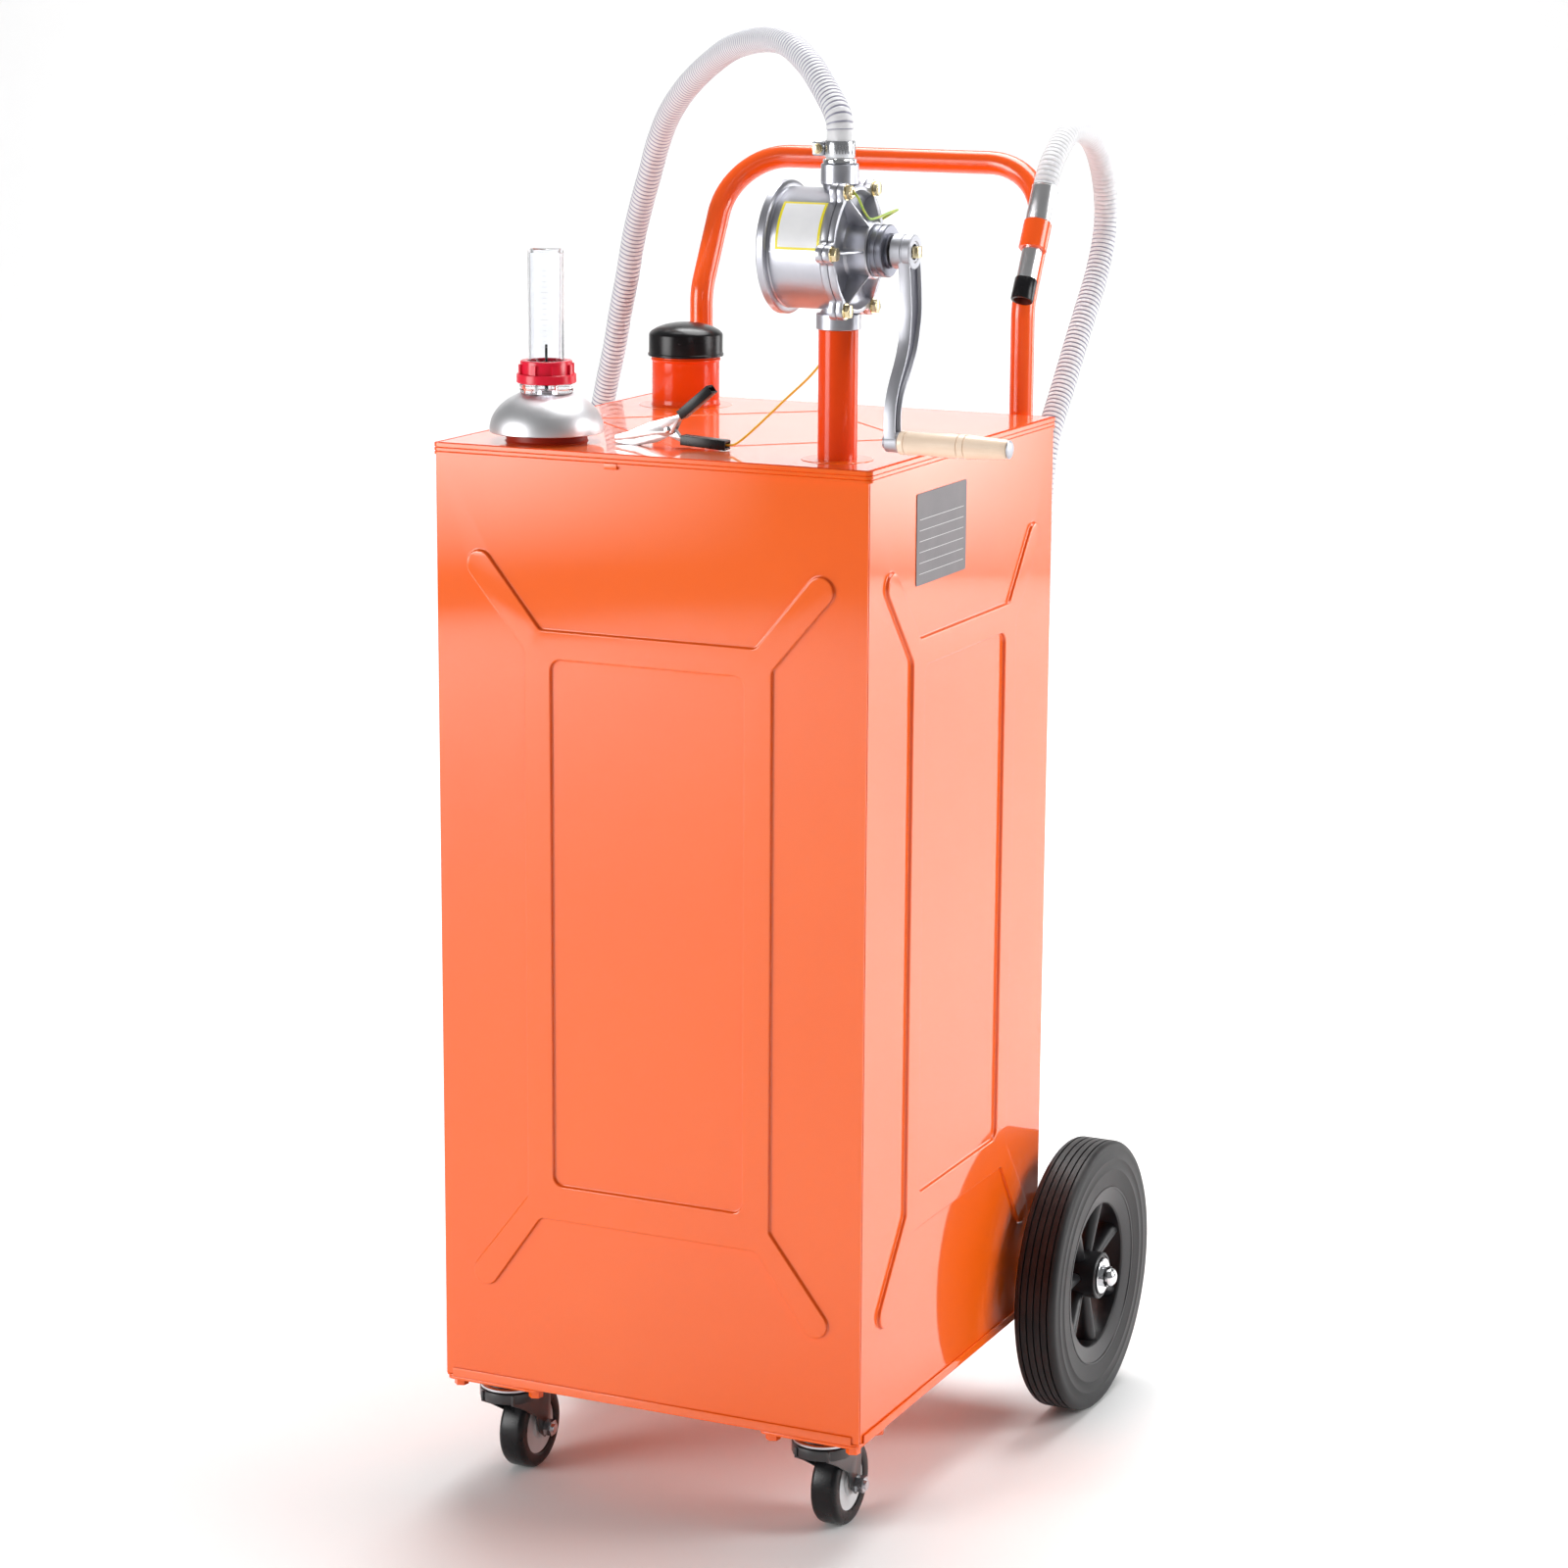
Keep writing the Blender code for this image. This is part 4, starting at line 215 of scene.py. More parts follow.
# Finishes: colour, its shade, roughness, then what differs from the plain finish
paint = {"cloud": 3, "grain": 420, "depth": 0.00001}
gloss = paint | {"Specular_IOR_Level": 0.06, "Coat_Weight": 1.0}
steel = {"spread": 0.10, "metallic": 1.0, "grain": 1500}
mirror = steel | {"grain": 900, "depth": 0.000004, "cloud": 40}
printed = {"cloud": 40, "depth": 0.00001}
finishes = {
    "orangePaint": ((0.93, 0.130, 0.005), (0.90, 0.117, 0.004), 0.38, gloss | {
        "Coat_Roughness": 0.04, "Coat_IOR": 1.65}),
    # a darker copy of the tank's orange for the neck and riser: painted shade for the lesser light
    # on them
    "pillarShadePaint": ((0.80, 0.060, 0.002), (0.76, 0.052, 0.002), 0.38, gloss | {
        "Coat_Weight": 0.5, "Coat_Roughness": 0.05, "Coat_IOR": 1.5}),
    "tubePaint": ((0.90, 0.100, 0.003), (0.86, 0.090, 0.003), 0.38, gloss | {
        "Coat_Roughness": 0.16, "Coat_IOR": 1.6}),
    # darker, duller orange for the bead and the rim's steps: painted shade that draws them as dark
    # lines
    "beadPaint": ((0.84, 0.080, 0.003), (0.80, 0.070, 0.003), 0.45, paint | {
        "Specular_IOR_Level": 0.2}),
    # dark red for the gauge's base ring: painted shadow and reflection of the dome's underside on
    # the plate
    "basePaint": ((0.34, 0.020, 0.003), (0.30, 0.016, 0.002), 0.40, paint | {
        "Specular_IOR_Level": 0.3}),
    "platePaint": ((0.93, 0.130, 0.005), (0.90, 0.117, 0.004), 0.38, paint | {
        "depth": 0.000004, "Coat_Weight": 1.0, "Coat_Roughness": 0.02, "Coat_IOR": 2.3}),
    "castMetal": ((0.53, 0.535, 0.58), (0.47, 0.475, 0.52), 0.35, steel | {
        "metallic": 0.95, "cloud": 25}),
    "crankMetal": ((0.50, 0.505, 0.545), (0.44, 0.445, 0.48), 0.50, steel | {"cloud": 30}),
    "shadeMetal": ((0.27, 0.275, 0.32), (0.22, 0.225, 0.27), 0.36, steel | {
        "metallic": 0.9, "cloud": 25}),
    "machinedMetal": ((0.66, 0.67, 0.70), (0.58, 0.59, 0.62), 0.22, steel | {
        "cloud": 60, "grain": 2500, "depth": 0.00001}),
    "clipSteel": ((0.62, 0.625, 0.64), (0.54, 0.545, 0.56), 0.34, steel | {
        "spread": 0.12, "cloud": 90, "grain": 2500}),
    "nozzleSteel": ((0.86, 0.865, 0.88), (0.82, 0.825, 0.84), 0.26, mirror | {"spread": 0.06}),
    "chromePlate": ((0.82, 0.83, 0.85), (0.76, 0.77, 0.79), 0.08, mirror | {"spread": 0.05}),
    "satinChrome": ((0.84, 0.845, 0.865), (0.79, 0.795, 0.815), 0.42, steel | {
        "spread": 0.06, "cloud": 30, "depth": 0.00001}),
    "goldPlate": ((0.84, 0.73, 0.47), (0.72, 0.60, 0.36), 0.24, steel | {
        "spread": 0.12, "cloud": 160, "grain": 2500, "depth": 0.00001}),
    # near black for the floor of the crank's channel: painted shade in the recess
    "channelMetal": ((0.060, 0.060, 0.075), (0.090, 0.090, 0.105), 0.40, steel | {
        "spread": 0.12, "cloud": 40, "depth": 0.00003}),
    "capPlastic": ((0.006, 0.006, 0.007), (0.010, 0.010, 0.011), 0.22, {
        "cloud": 30, "grain": 2600, "depth": 0.00004, "Specular_IOR_Level": 0.25}),
    "mouthRubber": ((0.10, 0.016, 0.008), (0.07, 0.011, 0.006), 0.45, {
        "cloud": 60, "grain": 1800, "depth": 0.00003}),
    "wheelPlastic": ((0.008, 0.008, 0.010), (0.014, 0.014, 0.016), 0.36, {
        "cloud": 25, "grain": 2200, "depth": 0.00005, "dust": 0.03}),
    "blackPaint": ((0.012, 0.012, 0.014), (0.020, 0.020, 0.022), 0.30, {
        "cloud": 20, "depth": 0.00003, "Coat_Weight": 0.4, "Coat_Roughness": 0.1}),
    "tyreRubber": ((0.009, 0.009, 0.010), (0.016, 0.015, 0.016), 0.46, {
        "spread": 0.14, "cloud": 30, "grain": 1600, "depth": 0.00008, "dust": 0.03,
        "Specular_IOR_Level": 0.3}),
    "softRubber": ((0.005, 0.005, 0.006), (0.008, 0.008, 0.009), 0.28, {
        "spread": 0.1, "cloud": 60, "grain": 1800, "depth": 0.00003, "Specular_IOR_Level": 0.3}),
    "greyHub": ((0.62, 0.63, 0.64), (0.55, 0.56, 0.57), 0.40, {
        "cloud": 60, "grain": 1500, "depth": 0.00004}),
    "redPlastic": ((0.80, 0.008, 0.040), (0.74, 0.007, 0.034), 0.22, {
        "cloud": 40, "grain": 1500, "depth": 0.00003, "Subsurface_Weight": 0.05}),
    "clearPlastic": ((0.97, 0.98, 1.0), (0.94, 0.95, 0.98), 0.05, {
        "spread": 0.04, "cloud": 50, "grain": 400, "depth": 0.000004,
        "Transmission_Weight": 1.0, "IOR": 1.22}),
    "hoseVinyl": ((0.975, 0.975, 0.99), (0.96, 0.96, 0.98), 0.08, {
        "spread": 0.06, "cloud": 60, "grain": 400, "depth": 0.000004,
        "Transmission_Weight": 0.35, "IOR": 1.2}),
    # grey-violet for the row at each rib valley: painted shade and refraction of the hose's
    # creases
    "hoseLine": ((0.30, 0.295, 0.38), (0.26, 0.255, 0.33), 0.30, {
        "spread": 0.1, "cloud": 120, "depth": 0.000004}),
    "stickerWhite": ((0.86, 0.86, 0.87), (0.80, 0.80, 0.82), 0.30, printed),
    "stickerYellow": ((0.90, 0.78, 0.03), (0.84, 0.70, 0.03), 0.30, printed),
    "plateGrey": ((0.105, 0.090, 0.098), (0.130, 0.112, 0.120), 0.34, printed),
    "plateLine": ((0.62, 0.61, 0.61), (0.55, 0.54, 0.54), 0.40, printed),
    "sweepPaper": ((0.90, 0.90, 0.90), (0.89, 0.89, 0.89), 0.7, {
        "spread": 0.02, "cloud": 1, "depth": 0.00001}),
}
finish = {name: finishMaterial(name, *row[:3], **row[3]) for name, row in finishes.items()}


def woodMaterial():  # pale varnished beech, its grain along the grip
    material, tree, shader, place = newMaterial("beechWood")
    noises = []
    for scale, detail in (((12, 160, 160), 5), ((60, 1400, 1400), 2)):
        stretch = tree.nodes.new("ShaderNodeMapping")
        stretch.inputs["Scale"].default_value = scale
        feed(tree, stretch.inputs["Vector"], place)
        noises.append(noiseNode(tree, stretch.outputs["Vector"], 1.0, detail))
    fibre, fleck = noises
    warm = mixNode(tree, rangeNode(tree, fibre, 0.3, 0.7), (0.93, 0.75, 0.59), (0.88, 0.67, 0.50))
    flecked = mixNode(tree, rangeNode(tree, fleck, 0.58, 0.75, 0.0, 0.4), warm, (0.72, 0.54, 0.36))
    feed(tree, shader.inputs["Base Color"], flecked)
    feed(tree, shader.inputs["Roughness"], rangeNode(tree, fibre, 0.3, 0.7, 0.30, 0.42))
    addBump(tree, shader, fleck, 0.00004)
    shader.inputs["Coat Weight"].default_value = 0.5
    shader.inputs["Coat Roughness"].default_value = 0.12
    return material


def sheathMaterial():  # the wire's sheath, green at the pump and amber toward the clip
    material, tree, shader, place = newMaterial("wireSheath")
    split = tree.nodes.new("ShaderNodeSeparateXYZ")
    feed(tree, split.inputs[0], place)
    along = rangeNode(tree, split.outputs["X"], 0.10, 0.145)
    stripe = rangeNode(tree, noiseNode(tree, place, 260, 2), 0.45, 0.55, 0.75, 1.0)
    colour = mixNode(tree, mathNode(tree, "MULTIPLY", along, stripe), (0.82, 0.50, 0.04),
                     (0.33, 0.52, 0.07))
    feed(tree, shader.inputs["Base Color"], colour)
    feed(tree, shader.inputs["Roughness"],
         rangeNode(tree, noiseNode(tree, place, 400, 2), 0.3, 0.7, 0.28, 0.42))
    return material


finish["beechWood"] = woodMaterial()
finish["wireSheath"] = sheathMaterial()
print("finishes made")


# Ways to shape a piece
def mm(*points):  # radius and height of each point, given in millimetres
    return [(radius / 1000, height / 1000) for radius, height in points]


def only(kind, items):  # the verts, edges or faces among what an operator gives back
    return [one for one in items if isinstance(one, kind)]


def edgesOf(verts):
    return list({edge for vert in verts for edge in vert.link_edges})


def lathe(shape, profile, steps=72, closed=False):
    points = [shape.verts.new((radius, 0, height)) for radius, height in profile]
    edges = [shape.edges.new(pair) for pair in zip(points, points[1:])]
    if closed:
        edges.append(shape.edges.new((points[-1], points[0])))
    bmesh.ops.spin(shape, geom=points + edges, cent=(0, 0, 0), axis=(0, 0, 1), dvec=(0, 0, 0),
                   angle=fullTurn, steps=steps, use_merge=True, use_duplicate=False)


def block(shape, low, high, turn=None):
    low, high = Vector(low), Vector(high)
    place = Matrix.Translation((low + high) / 2) @ Matrix.Diagonal((*(high - low), 1))
    if turn is not None:
        place = turn @ place
    return bmesh.ops.create_cube(shape, size=1, matrix=place)["verts"]


def bar(shape, radius, low, high, sides=48, place=None, tip=None):
    middle = Matrix.Translation((0, 0, (low + high) / 2))
    place = middle if place is None else place @ middle
    return bmesh.ops.create_cone(shape, cap_ends=True, segments=sides, radius1=radius,
                                 radius2=radius if tip is None else tip, depth=high - low,
                                 matrix=place)["verts"]


def bentEdges(shape, angle):
    return [edge for edge in shape.edges
            if len(edge.link_faces) == 2 and edge.calc_face_angle(0) > math.radians(angle)]


def bevelEdges(shape, edges, width, segments=2, clamp=False):
    return bmesh.ops.bevel(shape, geom=edges, offset=width, offset_type="OFFSET",
                           segments=segments, profile=0.5, affect="EDGES", clamp_overlap=clamp,
                           material=-1)


def soften(shape, width, segments=2, angle=30):
    bevelEdges(shape, bentEdges(shape, angle), width, segments, True)


def polygon(shape, points, height=0.0):
    return shape.faces.new([shape.verts.new((*point, height)) for point in points])


def roundCorners(shape, corners, radius, segments):
    for corner in corners:
        sides = [edge.other_vert(corner).co - corner.co for edge in corner.link_edges]
        reach = radius / math.tan(sides[0].angle(sides[1]) / 2)
        bmesh.ops.bevel(shape, geom=[corner], offset=reach, offset_type="OFFSET",
                        segments=segments, profile=0.5, affect="VERTICES", material=-1)


def thicken(shape, faces, thick):  # pulls flat faces up into a plate, keeping the lower side
    grown = bmesh.ops.extrude_face_region(shape, geom=faces, use_keep_orig=True)["geom"]
    bmesh.ops.translate(shape, verts=only(BMVert, grown), vec=(0, 0, thick))
    return only(BMFace, grown)


def joinPart(shape, part, place=(0, 0, 0)):  # adds a part that was drawn on its own
    bmesh.ops.translate(part, verts=part.verts, vec=place)
    mesh = bpy.data.meshes.new("part")
    part.to_mesh(mesh)
    part.free()
    shape.from_mesh(mesh)


def addPiece(name, mesh, materials, body="tank", replaced=(), smooth=None):
    piece = bpy.data.objects.new(name, mesh)
    bpy.context.scene.collection.objects.link(piece)
    for material in materials.split():
        mesh.materials.append(finish[material])
    mesh.shade_smooth()
    if smooth:
        mesh.set_sharp_from_angle(angle=math.radians(smooth))
    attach(piece, body)
    if replaced:
        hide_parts(*replaced)
    return piece


def finishPiece(name, shape, materials, body="tank", replaced=(), at=(0, 0, 0), turn=None,
                edge=0.0, smooth=35, slotName=None):
    bmesh.ops.remove_doubles(shape, verts=shape.verts, dist=mergeAt)
    bmesh.ops.recalc_face_normals(shape, faces=shape.faces)
    if edge:
        soften(shape, edge)
    move = Matrix.Translation(tankAt + Vector(at))
    bmesh.ops.transform(shape, matrix=move if turn is None else move @ turn, verts=shape.verts)
    mesh = bpy.data.meshes.new(name)
    shape.to_mesh(mesh)
    shape.free()
    piece = addPiece(name, mesh, materials, body, replaced, smooth)
    return piece


def turned(name, materials, profile, steps=72, closed=False, **rest):  # a piece of one turning
    shape = bmesh.new()
    lathe(shape, profile, steps, closed)
    return finishPiece(name, shape, materials, **rest)


def evenNormals(piece):  # keeps broad flat faces flat beside rounded edges
    tidy = piece.modifiers.new("evenNormals", "WEIGHTED_NORMAL")
    tidy.keep_sharp = True


# Smooth route through given points, in equal steps
def evenRoute(points, count):
    points = [Vector(place) for place in points]
    points = [points[0] * 2 - points[1]] + points + [points[-1] * 2 - points[-2]]
    fine = []
    parts = 16
    for before, here, after, beyond in zip(points, points[1:], points[2:], points[3:]):
        for part in range(parts):
            share = part / parts
            bend = (-before + here * 3 - after * 3 + beyond) * share ** 3
            curl = (before * 2 - here * 5 + after * 4 - beyond) * share ** 2
            fine.append((bend + curl + (after - before) * share + here * 2) / 2)
    fine.append(points[-2])
    total = [0.0]
    for one, other in zip(fine, fine[1:]):
        total.append(total[-1] + (other - one).length)
    even = []
    at = 0
    for number in range(count):
        wanted = total[-1] * number / (count - 1)
        while at < len(fine) - 2 and total[at + 1] < wanted:
            at += 1
        share = (wanted - total[at]) / (total[at + 1] - total[at])
        even.append(fine[at].lerp(fine[at + 1], min(max(share, 0), 1)))
    return even, total[-1]


def curveMesh(name, points, radius, factors=None, cyclic=False, roundness=6, caps=True):
    curve = bpy.data.curves.new(name + "Line", "CURVE")
    curve.dimensions = "3D"
    curve.bevel_depth = radius
    curve.bevel_resolution = roundness
    curve.use_fill_caps = caps
    line = curve.splines.new("POLY")
    line.points.add(len(points) - 1)
    for number, (point, place) in enumerate(zip(line.points, points)):
        point.co = (*place, 1)
        point.radius = factors[number] if factors else 1
    line.use_cyclic_u = cyclic
    rough = bpy.data.objects.new(name + "Line", curve)
    bpy.context.scene.collection.objects.link(rough)
    graph = bpy.context.evaluated_depsgraph_get()
    mesh = bpy.data.meshes.new_from_object(rough.evaluated_get(graph))
    bpy.data.objects.remove(rough)
    return mesh


# Hose: the same route as the solid, ribbed outside, smooth inside
hose = {"radius": 0.0110, "root": 0.0100, "bore": 0.0086, "ribs": 550, "straight": 0.022,
        "perRib": 6, "roundness": 8}
hoseRoute = (
    (0.1450, -0.1480, 1.0620), (0.1450, -0.1480, 1.0720), (0.1450, -0.1480, 1.0815),
    (0.1408, -0.1440, 1.0965), (0.1179, -0.1222, 1.1180), (0.0946, -0.0999, 1.1347),
    (0.0616, -0.0685, 1.1486), (0.0232, -0.0318, 1.1507), (-0.0266, 0.0156, 1.1426),
    (-0.0678, 0.0549, 1.1272), (-0.1103, 0.0954, 1.1050), (-0.1432, 0.1267, 1.0801),
    (-0.1656, 0.1481, 1.0527), (-0.1825, 0.1642, 1.0226), (-0.1999, 0.1808, 0.9921),
    (-0.2146, 0.1948, 0.9614), (-0.2265, 0.2062, 0.9278), (-0.2416, 0.2206, 0.8908),
    (-0.2539, 0.2323, 0.8567), (-0.2757, 0.2531, 0.8066), (-0.2905, 0.2640, 0.7520),
    (-0.2970, 0.2670, 0.6900), (-0.2925, 0.2660, 0.6100), (-0.2720, 0.2640, 0.5270),
    (-0.2330, 0.2620, 0.4500), (-0.1760, 0.2610, 0.3850), (-0.1050, 0.2600, 0.3430),
    (-0.0300, 0.2600, 0.3300), (0.0450, 0.2600, 0.3480), (0.1020, 0.2600, 0.3960),
    (0.1410, 0.2590, 0.4650), (0.1600, 0.2570, 0.5450), (0.1655, 0.2550, 0.6250),
    (0.1665, 0.2540, 0.6950), (0.1665, 0.2575, 0.7500), (0.1665, 0.2700, 0.7930),
    (0.1665, 0.3000, 0.8296), (0.1665, 0.3430, 0.8810), (0.1665, 0.3867, 0.9332),
    (0.1665, 0.4042, 0.9707), (0.1665, 0.4027, 1.0053), (0.1665, 0.3867, 1.0360),
    (0.1665, 0.3592, 1.0571), (0.1665, 0.3254, 1.0646), (0.1665, 0.2980, 1.0598),
    (0.1665, 0.2688, 1.0412), (0.1665, 0.2554, 1.0262), (0.1665, 0.2443, 1.0059),
    (0.1665, 0.2347, 0.9883))


def makeHose():
    count = hose["ribs"] * hose["perRib"] + 1
    line, total = evenRoute(hoseRoute, count)
    line = [tankAt + place for place in line]
    plain = round(hose["straight"] / total * count)
    factors = []
    for number in range(count):
        smooth = number < plain or number >= count - plain
        valley = number % hose["perRib"] == 0 and not smooth
        factors.append(hose["root"] / hose["radius"] if valley else 1)
    outer = curveMesh("hoseOuter", line, hose["radius"], factors, roundness=hose["roundness"],
                      caps=False)
    around = len(outer.vertices) // count
    # each rib valley's row gets the grey-violet finish: painted shade in the crease
    for face in outer.polygons:  # the row past each valley is its thin cool line
        face.material_index = int(factors[min(face.vertices) // around] < 1)
    inner = curveMesh("hoseInner", line[::hose["perRib"]], hose["bore"],
                      roundness=hose["roundness"], caps=False)
    inner.flip_normals()
    shape = bmesh.new()
    shape.from_mesh(outer)
    shape.from_mesh(inner)
    bmesh.ops.remove_doubles(shape, verts=shape.verts, dist=mergeAt)
    for end in (line[0], line[-1]):
        bmesh.ops.bridge_loops(shape, edges=[
            edge for edge in shape.edges
            if edge.is_boundary and (edge.verts[0].co - end).length < hose["radius"] * 2])
    mesh = bpy.data.meshes.new("fuelHose")
    shape.to_mesh(mesh)
    shape.free()
    return addPiece("fuelHose", mesh, "hoseVinyl hoseLine", replaced=["fuel_hose"]), line, total


fuelHose, hosePath, hoseLength = makeHose()
print("hose made:", round(hoseLength, 3), "m")


# Grounding wire from a cover bolt to the clip on the top plate
wire = {"radius": 0.0010, "points": 120}
wireRoute = (
    (0.1694, -0.1752, 1.0373), (0.1730, -0.1742, 1.0330), (0.1755, -0.1690, 1.0230),
    (0.1760, -0.1590, 1.0160), (0.1760, -0.1480, 1.0155), (0.1760, -0.1350, 1.0165),
    (0.1765, -0.1200, 1.0185), (0.1765, -0.1070, 1.0195), (0.1735, -0.0975, 1.0190),
    (0.1650, -0.0925, 1.0150), (0.1510, -0.0915, 1.0050), (0.1410, -0.0900, 0.9850),
    (0.1320, -0.0905, 0.9550), (0.1235, -0.0985, 0.9200), (0.1090, -0.1100, 0.8890),
    (0.0850, -0.1230, 0.8620), (0.0620, -0.1360, 0.8370), (0.0520, -0.1425, 0.8275),
    (0.0465, -0.1430, 0.8258), (0.0412, -0.1430, 0.8258))


def makeWire():
    line, total = evenRoute(wireRoute, wire["points"])
    line = [tankAt + place for place in line]
    mesh = curveMesh("groundWire", line, wire["radius"], roundness=3)
    mesh.materials.clear()
    piece = addPiece("groundWire", mesh, "wireSheath", replaced=["ground_wire"], smooth=50)
    return piece, line, total


groundWire, wireLine, wireLength = makeWire()
print("wire made:", round(wireLength, 3), "m")


# Tank sheets, each with its raised cross band
band = {"innerHalf": 0.089, "outerHalf": 0.114, "innerLow": 0.189, "innerHigh": 0.646,
        "outerLow": 0.158, "outerHigh": 0.670, "raised": 0.003, "corner": 0.009,
        "armX": 0.156, "armHigh": 0.721, "armLow": 0.102, "armHalf": 0.012, "bend": 0.006,
        "topRootX": 0.099, "sideRootHigh": 0.653, "lowRootX": 0.102, "sideRootLow": 0.176,
        "edge": 0.0013}


def bandCorners():
    right = []
    for rootX, rootZ, sideZ, endZ in (
            (band["topRootX"], band["outerHigh"], band["sideRootHigh"], band["armHigh"]),
            (band["lowRootX"], band["outerLow"], band["sideRootLow"], band["armLow"])):
        root = Vector(((rootX + band["outerHalf"]) / 2, (rootZ + sideZ) / 2))
        end = Vector((band["armX"], endZ))
        run = (end - root).normalized() * band["armHalf"]
        across = Vector((-run.y, run.x))
        tips = [end + run + across, end + run - across]
        if endZ > rootZ:
            right += [Vector((rootX, rootZ))] + tips + [Vector((band["outerHalf"], sideZ))]
        else:
            right += [Vector((band["outerHalf"], sideZ))] + tips + [Vector((rootX, rootZ))]
    return right + [Vector((-corner.x, corner.y)) for corner in reversed(right)]


def tankSheet(name, node, halfWidth, out, turn):
    shape = bmesh.new()
    low = tank["sheet"] + tank["gap"]
    high = tank["height"] - low
    polygon(shape, [(-halfWidth, low), (halfWidth, low), (halfWidth, high), (-halfWidth, high)])
    outer = polygon(shape, bandCorners())
    inside, insideLow, insideHigh = band["innerHalf"], band["innerLow"], band["innerHigh"]
    inner = polygon(shape, [(inside, insideHigh), (inside, insideLow), (-inside, insideLow),
                            (-inside, insideHigh)])
    innerCorners = list(inner.verts)
    tips = [corner for corner in outer.verts if abs(corner.co.x) > band["outerHalf"] + 0.001]
    roots = [corner for corner in outer.verts if corner not in tips]
    roundCorners(shape, tips, band["armHalf"] * 0.98, 6)
    roundCorners(shape, roots, band["bend"], 5)
    roundCorners(shape, innerCorners, band["corner"], 6)
    bmesh.ops.delete(shape, geom=list(shape.faces), context="FACES_ONLY")

    def loopOf(corner):
        found, ahead = set(), [corner]
        while ahead:
            here = ahead.pop()
            for edge in here.link_edges:
                if edge not in found:
                    found.add(edge)
                    ahead.append(edge.other_vert(here))
        return list(found)

    shape.verts.ensure_lookup_table()
    rimLoop = loopOf(min(shape.verts, key=lambda vert: vert.co.x + vert.co.y))
    rest = [edge for edge in shape.edges if edge not in rimLoop]
    farthest = max((vert for edge in rest for vert in edge.verts), key=lambda vert: vert.co.x)
    outerLoop = loopOf(farthest)
    innerLoop = [edge for edge in rest if edge not in outerLoop]
    bmesh.ops.triangle_fill(shape, edges=rimLoop + outerLoop, use_beauty=True)
    bandFaces = only(BMFace, bmesh.ops.triangle_fill(
        shape, edges=outerLoop + innerLoop, use_beauty=True)["geom"])
    bmesh.ops.triangle_fill(shape, edges=innerLoop, use_beauty=True)
    bmesh.ops.recalc_face_normals(shape, faces=shape.faces)
    shape.normal_update()
    if sum(face.normal.z * face.calc_area() for face in shape.faces) < 0:
        bmesh.ops.reverse_faces(shape, faces=shape.faces)
    grown = bmesh.ops.extrude_face_region(shape, geom=bandFaces)["geom"]
    bmesh.ops.delete(shape, geom=bandFaces, context="FACES")
    bmesh.ops.translate(shape, vec=(0, 0, band["raised"]), verts=only(BMVert, grown))
    shape.normal_update()
    bevelEdges(shape, bentEdges(shape, 30), band["edge"], 4)
    stand = Matrix.Rotation(quarterTurn, 4, "X")
    bmesh.ops.transform(shape, matrix=Matrix.Translation((0, -out, 0)) @ stand, verts=shape.verts)
    piece = finishPiece(name, shape, "orangePaint", replaced=[node],
                        turn=Matrix.Rotation(turn, 4, "Z"), smooth=40)
    thick = piece.modifiers.new("sheet", "SOLIDIFY")
    thick.thickness = tank["sheet"]
    thick.offset = -1
    rounded = piece.modifiers.new("foldedEdge", "BEVEL")
    rounded.width = tank["fold"]
    rounded.segments = 3
    rounded.angle_limit = math.radians(70)
    evenNormals(piece)


frontHalf = tank["side"] - 0.0004
sideHalf = tank["rear"] - 0.0019
for name, halfWidth, out, turn in (
        ("front", frontHalf, tank["rear"], 0),
        ("right", sideHalf, tank["side"], quarterTurn),
        ("rear", frontHalf, tank["rear"], math.pi),
        ("left", sideHalf, tank["side"], -quarterTurn)):
    tankSheet(name + "Sheet", "tank_" + name + "_panel", halfWidth, out, turn)
print("tank sheets made")


# Top plate inside its grooved rim, with the raised rings and the diamond bead
rim = {"low": 0.811, "edge": 0.0006, "land": 0.0026, "slope": 0.0010, "thick": 0.0020,
       "corner": 0.0052, "grooves": (0.26, 0.62), "groove": 0.0008, "grooveHalf": 0.06,
       "tabLow": -0.0385, "tabHigh": -0.0265, "tabDrop": 0.003, "tabRise": 0.002, "tabOut": 0.0008}
bead = {"left": -0.155, "right": 0.145, "rear": 0.145, "front": -0.147, "radius": 0.0023,
        "high": 0.0013}
filler = {"x": -0.1305, "y": 0.133, "ring": 0.0425, "ringHigh": 0.0012}
gauge = {"x": -0.121, "y": -0.149, "baseIn": 0.0300}
riser = {"x": 0.145, "y": -0.148, "ring": 0.0300, "ringHigh": 0.0015}


def pullUp(shape, edges, rise, out=0.0):
    grown = bmesh.ops.extrude_edge_only(shape, edges=edges)["geom"]
    verts = only(BMVert, grown)
    bmesh.ops.translate(shape, verts=verts, vec=(0, 0, rise))
    if out:
        bmesh.ops.scale(shape, verts=verts,
                        vec=(1 + out / tank["side"], 1 + out / tank["rear"], 1))
    return only(BMEdge, grown)


